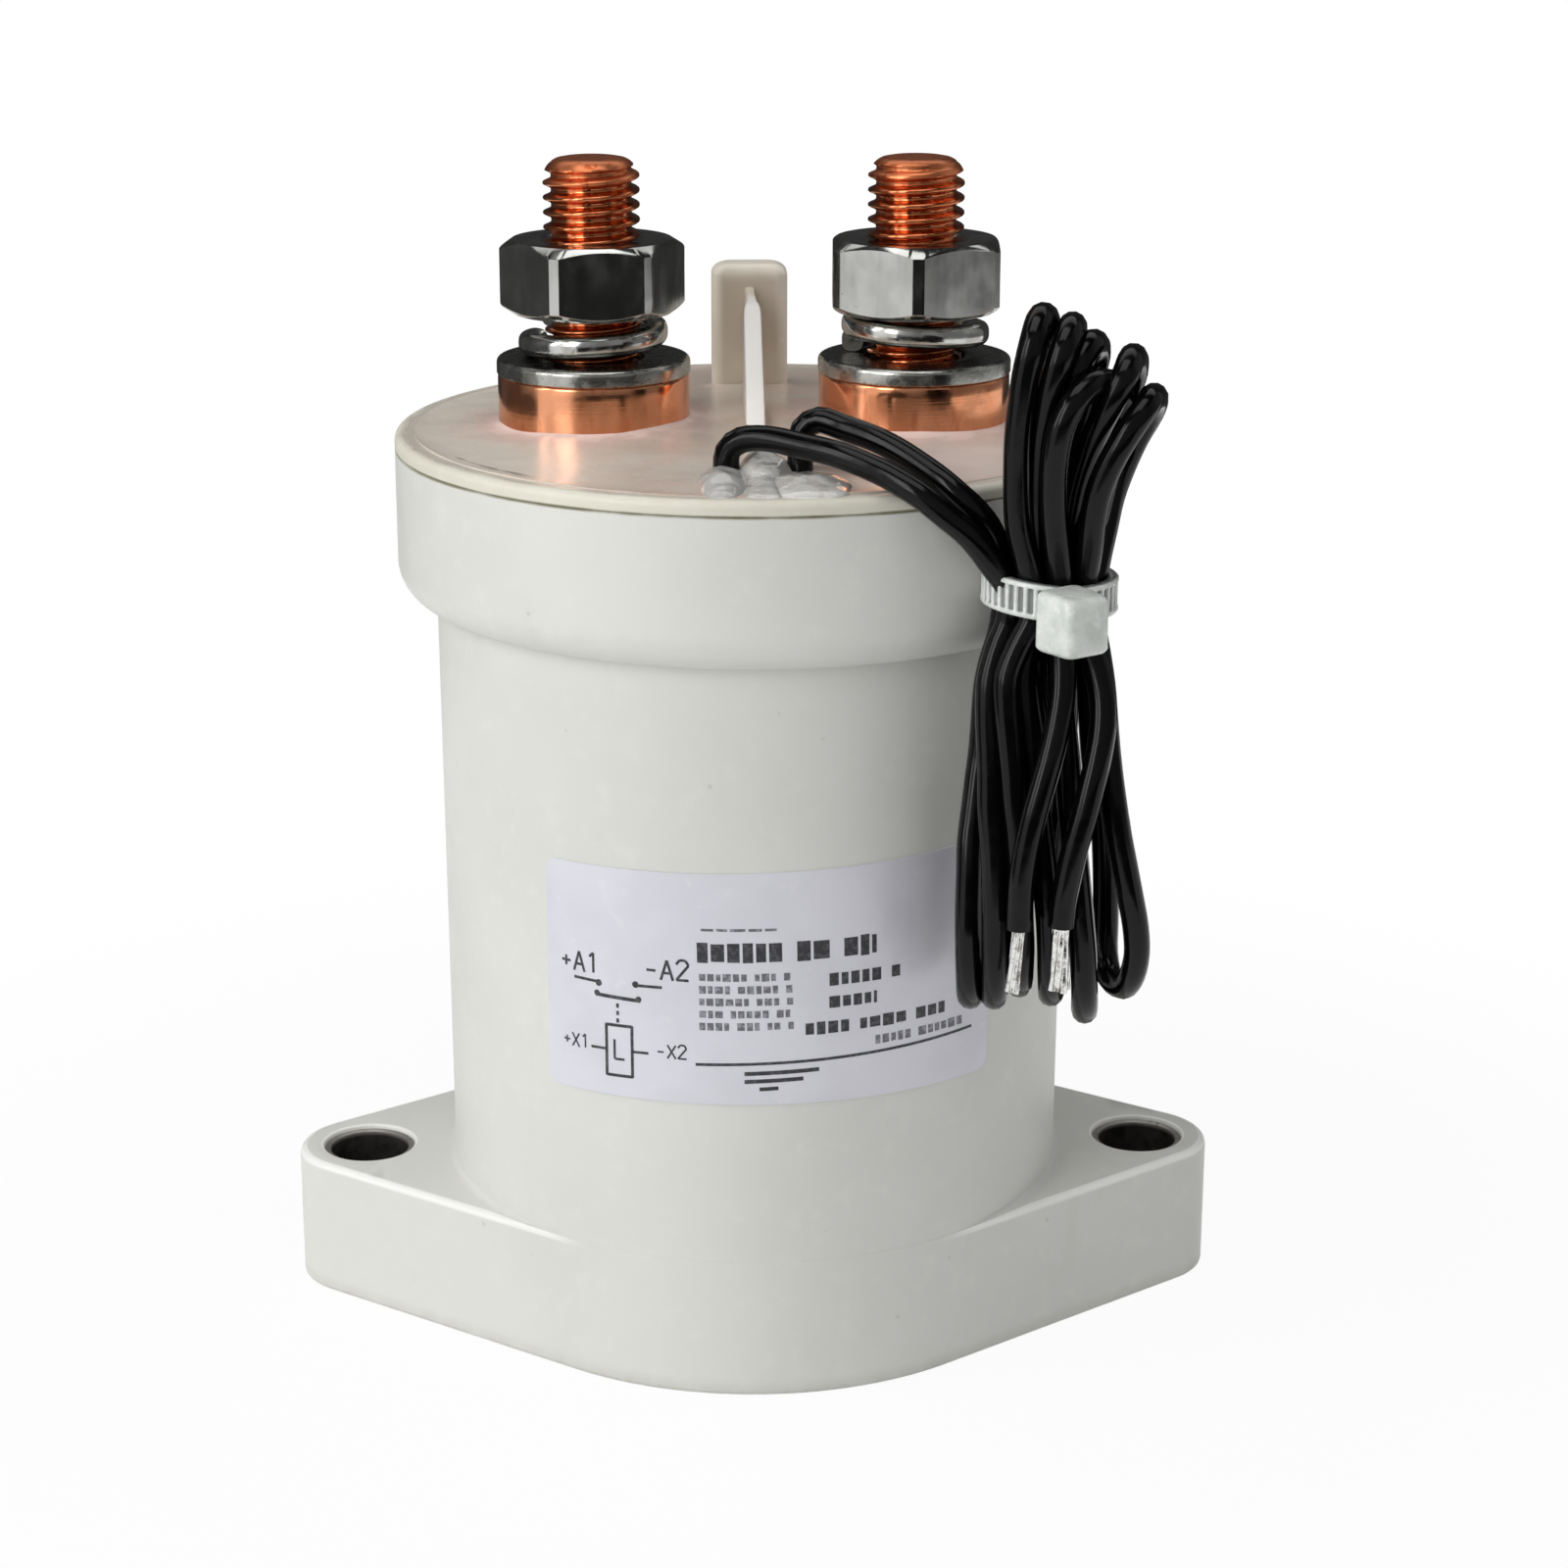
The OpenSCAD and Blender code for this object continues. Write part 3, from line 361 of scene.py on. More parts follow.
    for name, base, shade, rough, metal in (
        ("ceramic", (232, 228, 218), (222, 217, 205), 0.5, 0),
        ("magnet", (48, 48, 50), (30, 30, 32), 0.6, 0),
        ("soft_iron", (150, 148, 144), (112, 110, 106), 0.4, 1),
        ("wire", (184, 92, 54), (142, 66, 38), 0.34, 1),
        ("bobbin", (62, 74, 52), (48, 58, 42), 0.5, 0),
        ("tray", (196, 176, 140), (176, 154, 118), 0.6, 0),
        ("spring", (176, 178, 180), (132, 134, 138), 0.28, 1),
    ):
        p = made[name] = Paint(name, base, rough, Metallic=metal)
        p.patches(3, 0.4, 0.68, shade, detail=4)
        p.dull(2, 0.4, 0.7, min(1, rough + 0.15))
        p.grain(0.5, 0.02, stretch=(1, 1, 0.2) if name == "wire" else EVEN)
    return {name: p.mat for name, p in made.items()}


PAINT = make_paints()

# ---------------------------------------------------------------- mesh helpers

NEARLY_ZERO = 1e-6


def evenly(start, end, count):
    """Evenly spaced plain numbers."""
    return [float(v) for v in np.linspace(start, end, count)]


def cos_sin(degrees):
    a = math.radians(degrees)
    return math.cos(a), math.sin(a)


def circle(n):
    """Cosine and sine of n even steps once round."""
    return [(math.cos(t), math.sin(t)) for t in np.linspace(0, 2 * math.pi, n, endpoint=False)]


def arc(x, z, r, start, end, steps):
    """Points of an arc between two angles in degrees."""
    return [(x + r * c, z + r * s) for c, s in map(cos_sin, evenly(start, end, steps + 1))]


def round_rect(cx, cy, half_x, half_y, r, steps=5):
    """The outline of a rectangle with round corners."""
    out = []
    for sx, sy, a in ((1, 1, 0), (-1, 1, 90), (-1, -1, 180), (1, -1, 270)):
        out += arc(cx + sx * (half_x - r), cy + sy * (half_y - r), r, a, a + 90, steps)
    return out


def across(stacks):
    """Rings from stacks of points, one stack for each place on a ring."""
    return [list(ring) for ring in zip(*stacks)]


def revolved(profile, spin, x=0):
    """Rings of a profile of (radius, height) about the upright line at x."""
    return [
        [(x, 0, z)] if r < NEARLY_ZERO else [(x + r * c, r * s, z) for c, s in spin] for r, z in profile
    ]


def skin(rings, loop=False, caps=False):
    """Faces between rings of points. A ring of one point is a tip."""
    verts, faces, index = [], [], []
    for ring in rings:
        index.append(list(range(len(verts), len(verts) + len(ring))))
        verts += [tuple(p) for p in ring]
    for a, b in zip(index, index[1:] + ([index[0]] if loop else [])):
        for k in range(max(len(a), len(b))):
            quad = [a[k % len(a)], a[(k + 1) % len(a)], b[(k + 1) % len(b)], b[k % len(b)]]
            face = list(dict.fromkeys(quad))
            if len(face) > 2:
                faces.append(face)
    if caps:
        faces += [index[0][::-1], index[-1]]
    return verts, faces


def thick_sheet(top, under, tris):
    """A closed sheet: the same faces at two heights, and walls along their open edges."""
    n = len(top)
    edges = {}
    for f in tris:
        for a, b in zip(f, f[1:] + f[:1]):
            edges.setdefault(frozenset((a, b)), []).append((a, b))
    walls = [[b, a, a + n, b + n] for (a, b), *more in edges.values() if not more]
    return top + under, tris + [[i + n for i in f[::-1]] for f in tris] + walls


def joined(*parts):
    verts, faces = [], []
    for v, f in parts:
        first = len(verts)
        verts += list(v)
        faces += [[i + first for i in face] for face in f]
    return verts, faces


def piece(name, shape, paint, nodes, body="base", sharp=40, flat=True):
    """Makes a mesh piece of the object, in metres, that rides on a body."""
    verts, faces = shape
    mesh = bpy.data.meshes.new(name)
    bm = bmesh.new()
    made = [bm.verts.new([c * MM for c in v]) for v in verts]
    for face in faces:
        try:
            bm.faces.new([made[i] for i in face])
        except ValueError:
            pass
    bmesh.ops.recalc_face_normals(bm, faces=bm.faces[:])
    loose = [v for v in bm.verts if not v.link_faces]
    bmesh.ops.delete(bm, geom=loose, context="VERTS")
    bm.to_mesh(mesh)
    bm.free()
    mesh.shade_smooth()
    mesh.set_sharp_from_angle(angle=math.radians(sharp))
    obj = bpy.data.objects.new(name, mesh)
    bpy.context.scene.collection.objects.link(obj)
    obj.data.materials.append(PAINT[paint])
    if flat:
        even = obj.modifiers.new("even_normals", "WEIGHTED_NORMAL")
        even.keep_sharp = True
    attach(obj, body)
    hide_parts(*nodes)
    return obj


def inside(p, loop):
    """True if a point lies inside a closed outline."""
    odd = False
    x, y = p
    for (ax, ay), (bx, by) in zip(loop, loop[1:] + loop[:1]):
        if (ay > y) != (by > y) and x < (bx - ax) * (y - ay) / (by - ay) + ax:
            odd = not odd
    return odd


def filled(outline, holes=(), extra=()):
    """Triangles of a flat area with holes and inner points, as points and index triples."""
    points, edges = [], []
    for loop in (outline, *holes):
        first = len(points)
        points += [tuple(p) for p in loop]
        edges += [(first + i, first + (i + 1) % len(loop)) for i in range(len(loop))]
    points += [tuple(p) for p in extra]
    verts, _, faces, _, _, _ = delaunay_2d_cdt([Vector(p) for p in points], edges, [], 0, 1e-7)
    spots = [(v.x, v.y) for v in verts]
    keep = []
    for f in faces:
        mid = (sum(spots[i][0] for i in f) / len(f), sum(spots[i][1] for i in f) / len(f))
        if inside(mid, list(outline)) and not any(inside(mid, list(h)) for h in holes):
            keep.append(list(f))
    return spots, keep


def wobble(x, y, z, size, seed=0):
    """Smooth noise between about -1 and 1."""
    return noise.noise(Vector((x / size + seed * 7.3, y / size - seed * 3.1, z / size + seed)))


# ---------------------------------------------------------------- coil leads

LEAD_D = 2.6
LEAD_FOOT, LEAD_COVER = 44.7, 93.2  # the levels between which a lead runs inside the housing
TIN_LAP = 0.6  # how far the strands reach back into the insulation
LEAD_1_KNOTS = (
    (-3.4, -24.0, 93.5), (-3.4, -24.0, 95.5), (-3.2, -24.1, 97.2), (-1.9, -24.8, 98.4),
    (0.6, -26.3, 98.8), (3.5, -28.5, 98.61), (7.3, -31.5, 98.23), (10.9, -34.2, 97.21),
    (12.9, -35.6, 96.32), (14.8, -36.7, 95.28), (17.1, -37.5, 93.53), (19.3, -37.9, 91.70),
    (21.4, -37.7, 89.0), (23.0, -36.9, 86.5), (23.3, -36.5, 83.4), (22.2, -37.1, 80.5),
    (21.4, -37.9, 77.6), (21.3, -38.5, 74.6), (21.4, -39.1, 71.7), (21.5, -39.7, 68.7),
    (21.5, -40.2, 65.8), (21.7, -40.7, 62.8), (21.9, -41.1, 59.9), (22.0, -41.3, 56.9),
    (22.1, -41.3, 53.8), (22.2, -41.0, 50.9), (22.3, -39.9, 48.0), (22.5, -38.0, 45.7),
    (22.6, -35.3, 44.8), (22.7, -32.6, 46.0), (22.6, -31.4, 48.7), (22.5, -31.1, 51.7),
    (22.3, -31.0, 54.7), (22.2, -31.0, 57.7), (22.1, -31.1, 60.7), (22.1, -31.1, 63.7),
    (22.2, -31.2, 66.7), (22.3, -31.3, 69.7), (22.4, -31.4, 72.7), (22.6, -31.4, 75.7),
    (23.2, -31.5, 78.7), (23.9, -31.6, 81.6), (24.3, -31.7, 84.6), (24.4, -31.9, 87.6),
    (24.7, -32.0, 90.6), (24.8, -31.8, 93.6), (24.9, -31.5, 96.5), (25.1, -31.2, 99.5),
    (25.5, -31.0, 102.5), (25.9, -30.9, 105.5), (26.4, -31.3, 108.4), (26.6, -32.9, 110.9),
    (26.1, -35.5, 112.1), (25.3, -38.4, 112.2), (24.5, -40.4, 110.3), (23.9, -40.5, 107.4),
    (23.6, -40.2, 104.4), (23.4, -39.8, 101.5), (23.4, -39.4, 98.5), (23.5, -39.1, 95.5),
    (23.8, -38.8, 92.5), (24.6, -38.4, 89.6), (25.3, -38.2, 86.7), (25.3, -38.1, 83.7),
    (24.0, -38.7, 81.1), (22.9, -39.4, 78.4), (22.9, -39.9, 75.5), (23.2, -40.3, 72.5),
    (23.5, -40.7, 69.5), (23.7, -41.0, 66.6), (24.0, -41.2, 63.6), (24.2, -41.3, 60.6),
    (24.4, -41.3, 57.6), (24.5, -41.2, 54.6), (24.7, -40.8, 51.6), (24.8, -39.6, 48.9),
    (25.0, -37.5, 46.8), (25.2, -34.7, 45.7), (25.4, -31.8, 46.5), (25.5, -30.1, 48.9),
    (25.6, -29.5, 51.8), (25.8, -29.2, 54.8), (26.1, -29.1, 57.8), (26.4, -29.0, 60.8),
    (27.0, -28.9, 63.8), (27.6, -28.9, 66.7), (28.2, -29.0, 69.6), (28.7, -29.2, 72.6),
    (29.2, -29.6, 75.5), (29.3, -30.0, 78.5), (29.1, -30.5, 81.5), (29.0, -30.7, 84.5),
    (28.9, -30.6, 87.5), (28.9, -30.4, 90.5), (29.0, -30.1, 93.5), (29.3, -29.8, 96.4),
    (29.8, -29.8, 99.4), (30.5, -29.9, 102.3), (31.2, -30.4, 105.2), (31.6, -31.7, 107.8),
    (31.1, -34.3, 109.3), (30.2, -37.1, 109.6), (28.9, -38.9, 107.9), (28.1, -38.5, 105.1),
    (27.6, -37.6, 102.3), (27.2, -36.6, 99.5), (27.0, -35.9, 96.6), (26.8, -35.3, 93.6),
    (26.6, -34.4, 90.8), (26.3, -33.5, 87.9), (26.1, -33.2, 84.9), (26.2, -33.1, 81.9),
    (26.5, -32.8, 78.9), (26.9, -32.4, 76.0), (27.4, -32.0, 73.0), (27.9, -31.5, 70.1),
    (28.5, -31.0, 67.2), (29.1, -30.4, 64.3), (29.8, -29.9, 61.4), (30.4, -29.5, 58.5),
    (30.9, -29.3, 55.6), (31.4, -29.3, 52.6), (31.7, -29.6, 49.6), (32.0, -30.1, 46.7),
    (32.1, -31.6, 44.1), (31.8, -34.3, 43.0), (31.5, -37.2, 43.7), (31.2, -39.4, 45.6),
    (30.9, -40.8, 48.3), (30.7, -41.3, 51.2), (30.4, -41.2, 54.2), (30.1, -40.9, 57.2),
    (29.8, -40.4, 60.2), (29.5, -39.9, 63.1), (29.2, -39.3, 66.0), (29.0, -38.8, 69.0),
    (28.7, -38.2, 71.9), (28.4, -37.7, 74.9), (28.2, -37.1, 77.8), (28.3, -36.2, 80.7),
    (28.6, -35.6, 83.6), (29.0, -35.5, 86.6), (30.0, -35.5, 89.4), (31.2, -35.3, 92.2),
    (31.9, -35.1, 95.1), (32.6, -34.9, 98.0), (33.3, -35.0, 100.9), (33.5, -35.9, 103.8),
    (32.5, -37.7, 105.9), (30.6, -39.9, 106.6), (28.6, -41.8, 105.5), (27.2, -42.3, 103.0),
    (26.7, -41.8, 100.0), (26.7, -41.1, 97.1), (26.9, -40.4, 94.2), (27.3, -39.6, 91.3),
    (27.7, -38.8, 88.5), (27.9, -38.4, 85.5), (28.0, -38.6, 82.5), (28.2, -39.3, 79.6),
    (28.1, -40.3, 76.7), (27.6, -41.2, 73.9), (26.9, -42.2, 71.2), (26.1, -42.9, 68.4),
    (25.3, -43.4, 65.5), (24.7, -43.6, 62.6), (24.3, -43.7, 59.6), (24.2, -43.7, 57.1),
    (24.15, -43.65, 54.6),
)
LEAD_2_KNOTS = (
    (3.8, -24.5, 93.5), (3.8, -24.5, 96.0), (3.9, -24.4, 97.8), (4.1, -24.2, 99.3),
    (5.6, -24.4, 100.25), (7.9, -25.5, 99.70), (10.8, -27.9, 99.06), (13.2, -30.0, 98.16),
    (15.3, -32.0, 97.08), (17.0, -33.6, 96.06), (18.6, -34.6, 94.81), (20.2, -35.2, 93.39),
    (21.6, -35.0, 91.3), (22.6, -34.4, 88.0), (23.1, -34.0, 84.5), (22.8, -33.9, 81.4),
    (22.0, -34.0, 78.6), (21.5, -34.0, 75.9),
    (21.3, -34.2, 72.9), (21.1, -34.5, 69.9), (20.7, -35.2, 67.0), (20.3, -36.1, 64.1),
    (19.9, -37.1, 61.3), (19.8, -37.9, 58.4), (19.7, -38.5, 55.4), (19.7, -38.9, 52.5),
    (19.8, -38.7, 49.5), (20.0, -37.5, 46.7), (20.3, -35.4, 44.7), (20.7, -32.5, 44.0),
    (21.0, -30.0, 45.5), (21.0, -29.1, 48.3), (21.1, -28.9, 51.3), (21.2, -28.8, 54.3),
    (21.4, -28.7, 57.3), (21.7, -28.7, 60.3), (22.3, -28.7, 63.2), (22.9, -28.8, 66.2),
    (23.6, -29.0, 69.1), (24.3, -29.2, 72.0), (25.0, -29.5, 74.9), (25.6, -29.8, 77.8),
    (26.2, -30.2, 80.8), (26.4, -30.4, 83.8), (26.4, -30.5, 86.8), (26.5, -30.5, 89.8),
    (26.7, -30.4, 92.8), (26.9, -30.4, 95.8), (27.3, -30.4, 98.8), (27.7, -30.4, 101.7),
    (28.2, -30.5, 104.7), (28.9, -31.0, 107.6), (29.2, -32.6, 110.0), (28.8, -35.3, 111.2),
    (28.2, -38.3, 111.3), (27.3, -40.3, 109.7), (26.5, -40.3, 106.8), (26.0, -39.6, 103.9),
    (25.6, -38.8, 101.0), (25.5, -38.1, 98.1), (25.5, -37.6, 95.1), (25.6, -37.0, 92.2),
    (25.8, -36.3, 89.3), (26.1, -35.8, 86.3), (26.0, -35.7, 83.3), (25.2, -36.3, 80.5),
    (24.6, -37.2, 77.7), (24.8, -37.9, 74.8), (25.2, -38.5, 71.9), (25.6, -39.1, 69.0),
    (26.0, -39.7, 66.0), (26.3, -40.2, 63.1), (26.7, -40.7, 60.1), (27.0, -41.0, 57.2),
    (27.3, -41.2, 54.2), (27.5, -41.1, 51.2), (27.7, -40.2, 48.3), (28.0, -38.2, 46.1),
    (28.3, -35.5, 45.1), (28.5, -32.9, 46.4), (28.5, -32.0, 49.2), (28.4, -31.9, 52.2),
    (28.4, -32.0, 55.2), (28.4, -32.1, 58.3), (28.5, -32.5, 61.2), (28.8, -32.9, 64.2),
    (29.0, -33.3, 67.2), (29.2, -33.5, 70.2), (29.2, -33.5, 73.2), (29.1, -33.4, 76.2),
    (28.9, -33.3, 79.2), (28.7, -33.2, 82.2), (28.6, -33.1, 85.2), (28.7, -33.4, 88.2),
    (28.9, -34.2, 91.1), (29.2, -35.1, 93.9), (29.6, -36.1, 96.7), (30.2, -37.4, 99.4),
    (30.9, -38.8, 102.0), (31.9, -39.9, 104.6), (33.2, -39.7, 107.2), (34.1, -37.3, 108.4),
    (34.8, -34.4, 107.9), (35.2, -31.9, 106.3), (34.7, -30.5, 103.8), (33.7, -30.0, 101.0),
    (32.6, -30.1, 98.2), (31.8, -30.4, 95.3), (31.2, -31.0, 92.4), (30.9, -31.7, 89.5),
    (30.9, -32.3, 86.6), (31.0, -32.5, 83.6), (31.4, -32.3, 80.6), (31.5, -31.9, 77.7),
    (31.8, -31.5, 74.7), (32.1, -31.2, 71.7), (32.4, -30.9, 68.7), (32.8, -30.6, 65.8),
    (33.4, -30.4, 62.8), (33.8, -30.4, 59.8), (34.0, -30.5, 56.8), (34.1, -30.8, 53.8),
    (34.1, -31.3, 50.8), (34.0, -32.3, 48.0), (34.3, -34.4, 46.1), (35.3, -37.2, 46.2),
    (35.8, -39.3, 48.2), (36.0, -40.5, 50.9), (35.7, -41.1, 53.8), (35.1, -41.2, 56.8),
    (34.5, -41.0, 59.7), (33.9, -40.7, 62.6), (33.4, -40.2, 65.6), (33.0, -39.5, 68.5),
    (32.7, -38.7, 71.4), (32.5, -37.8, 74.2), (32.3, -36.8, 77.0), (31.9, -35.8, 79.8),
    (31.4, -35.2, 82.7), (31.4, -35.0, 85.7), (31.9, -34.2, 88.6), (32.6, -33.1, 91.3),
    (33.3, -32.1, 94.1), (34.3, -31.5, 96.8), (35.5, -31.4, 99.6), (36.7, -32.3, 102.2),
    (36.8, -34.6, 104.0), (36.2, -37.4, 104.8), (35.1, -40.1, 104.2), (33.4, -41.1, 102.0),
    (32.0, -41.0, 99.4), (31.0, -40.6, 96.6), (30.6, -39.9, 93.7), (30.5, -38.9, 90.8),
    (30.3, -37.9, 88.0), (30.2, -37.4, 85.1), (30.5, -37.6, 82.1), (31.4, -38.4, 79.3),
    (32.0, -39.5, 76.6), (32.0, -40.8, 73.9), (31.5, -41.9, 71.2), (30.8, -42.8, 68.4),
    (30.1, -43.3, 65.5), (29.3, -43.6, 62.6), (28.7, -43.7, 59.6), (28.3, -43.7, 57.1),
    (28.15, -43.65, 54.8),
)


def flowing(knots, step=0.9):
    """A smooth line through the knots, with points about step millimetres apart."""
    p = np.array(knots, float)
    p = np.vstack([2 * p[0] - p[1], p, 2 * p[-1] - p[-2]])
    out = []
    for a, b, c, d in zip(p, p[1:], p[2:], p[3:]):
        n = max(1, round(float(np.linalg.norm(c - b)) / step))
        for t in np.arange(n) / n:
            bend, twist = 2 * a - 5 * b + 4 * c - d, 3 * b - a - 3 * c + d
            out.append(0.5 * (2 * b + (c - a) * t + bend * t * t + twist * t ** 3))
    out.append(p[-2])
    return [tuple(q) for q in out]


def tube(path, radius, sides):
    """Rings of a round tube along a path, for skin()."""
    path = [Vector(p) for p in path]
    side = None
    rings = []
    for i, p in enumerate(path):
        along = (path[min(i + 1, len(path) - 1)] - path[max(i - 1, 0)]).normalized()
        if side is None:
            side = along.orthogonal().normalized()
        side = (side - along * side.dot(along)).normalized()
        up = along.cross(side)
        r = radius(i / (len(path) - 1)) if callable(radius) else radius
        rings.append([tuple(p + r * (c * side + s * up)) for c, s in circle(sides)])
    return rings


def strands(start, end, spread):
    """Seven tinned strands, hardly twisted, that splay a little at the cut. The seventh is the core."""
    start, end = Vector(start), Vector(end)
    along = (end - start).normalized()
    side = along.orthogonal().normalized()
    up = along.cross(side)
    length = (end - start).length
    parts = []
    for k in range(7):
        reach = length * (1 + 0.02 * math.sin(2.3 * k + spread)) + TIN_LAP
        path = []
        for t in evenly(0, 1, 26):
            turn = spread + k * math.pi / 3 + t * 0.7
            splay = 0.48 + 0.04 * math.sin(7 * t + k) + 0.16 * max(0, (t - 0.5) / 0.5) ** 1.6
            out = 0 if k == 6 else spread * splay
            path.append(start + along * (t * reach - TIN_LAP) + out * (math.cos(turn) * side + math.sin(turn) * up))
        rings = tube(path, lambda t: spread * (0.33 + 0.02 * math.sin(17 * t + 2 * k)), 12)
        parts.append(skin(rings, caps=True))
    return joined(*parts)


def make_lead(number, knots, exit_at, end, spread):
    name = "coil_lead_%d" % number
    path = flowing(knots)
    curve = bpy.data.curves.new(name, "CURVE")
    curve.dimensions = "3D"
    spline = curve.splines.new("POLY")
    spline.points.add(len(path) - 1)
    for point, at in zip(spline.points, path):
        point.co = (at[0] * MM, at[1] * MM, at[2] * MM, 1)
    spline.use_smooth = True
    curve.bevel_depth = LEAD_D / 2 * MM
    curve.bevel_resolution = 4
    curve.use_fill_caps = True
    curve.materials.append(PAINT["lead"])
    obj = bpy.data.objects.new(name, curve)
    bpy.context.scene.collection.objects.link(obj)
    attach(obj, "base")
    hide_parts("lead_%d" % number, "lead_hank")
    shape = strands(path[-1], end, spread)
    tip = piece("tinned_end_%d" % number, shape, "tin", ["lead_end_%d" % number], sharp=60)
    inner = tube([(*exit_at[:2], z) for z in evenly(LEAD_FOOT, LEAD_COVER, 12)], LEAD_D / 2, 20)
    piece("lead_inside_%d" % number, skin(inner, caps=True), "lead", ["lead_%d" % number])


make_lead(1, LEAD_1_KNOTS, (-3.4, -24, 96), (23.6, -43.65, 48.2), 0.82)
make_lead(2, LEAD_2_KNOTS, (3.8, -24.5, 96), (28.1, -43.65, 48.3), 1.12)

# ---------------------------------------------------------------- housing

FOOT_T = 15
FOOT_MID_R = 32.95
FOOT_TIP_R = 7.6
FOOT_TOP_ROUND, FOOT_LOW_ROUND, FOOT_FILLET = 0.8, 0.7, 0.9
WIDE_FOOT = 2.5  # where the foot stands out further than this, its top is a filled area
HOLE_X = 42.5
HOLE_R = 4.95
HOLE_CHAMFER = 0.35
BODY_R = 32.9
BODY_DRAFT = 0.4
HEAD_Z = 77.8
HEAD_R = 37.25
HEAD_ROUND = 3.9
MOUTH_R = 35.25
JOINT_Z = 93.4
JOINT_GROOVE = 0.11
JOINT_GAP = 0.02
RIM_Z = 95
RIM_ROUND = 0.8
COVER_Z = 91.5
CAVITY_R = 30.5
LEDGE_R = 33.5


def body_radius(z):
    return BODY_R + BODY_DRAFT * (z - FOOT_T) / (HEAD_Z - FOOT_T)


def foot_columns():
    """Points on the foot's outline with their outward directions, once round."""
    lean = math.acos((FOOT_MID_R - FOOT_TIP_R) / HOLE_X)
    quarter = []
    for a in evenly(0, lean, 25):
        quarter.append((HOLE_X + FOOT_TIP_R * math.cos(a), FOOT_TIP_R * math.sin(a), math.cos(a), math.sin(a)))
    first = math.atan2(quarter[-1][1], quarter[-1][0])
    for a in evenly(first, lean, 22)[1:]:
        r = FOOT_MID_R / math.cos(lean - a)
        quarter.append((r * math.cos(a), r * math.sin(a), math.cos(lean), math.sin(lean)))
    for a in evenly(lean, math.pi / 2, 20)[1:]:
        quarter.append((FOOT_MID_R * math.cos(a), FOOT_MID_R * math.sin(a), math.cos(a), math.sin(a)))
    half = quarter + [(-x, y, -u, v) for x, y, u, v in quarter[-2::-1]]
    return half + [(x, -y, u, -v) for x, y, u, v in half[-2:0:-1]]


def head_profile():
    """The housing's outline from the foot up over the head, and down inside to the cavity's floor."""
    neck = body_radius(HEAD_Z)
    profile = [(body_radius(z), z) for z in (22, 34, 46, 58, 70)]
    profile += [(neck, HEAD_Z - 0.35), (neck + 0.05, HEAD_Z - 0.1)]
    profile += arc(HEAD_R - HEAD_ROUND, HEAD_Z + HEAD_ROUND, HEAD_ROUND, -88, 0, 12)
    profile += [(HEAD_R, 85), (HEAD_R, 89), (HEAD_R, JOINT_Z - 0.2), (HEAD_R - 0.04, JOINT_Z - 0.1)]
    profile += [(HEAD_R - JOINT_GROOVE, JOINT_Z - 0.05), (HEAD_R - JOINT_GROOVE, JOINT_Z - JOINT_GAP)]
    profile += [(MOUTH_R, JOINT_Z - JOINT_GAP), (MOUTH_R, COVER_Z - JOINT_GAP), (LEDGE_R, COVER_Z - JOINT_GAP)]
    return profile + [(LEDGE_R, HEAD_Z + 3), (CAVITY_R, HEAD_Z + 3), (CAVITY_R, 50), (CAVITY_R, 3), (0, 3)]


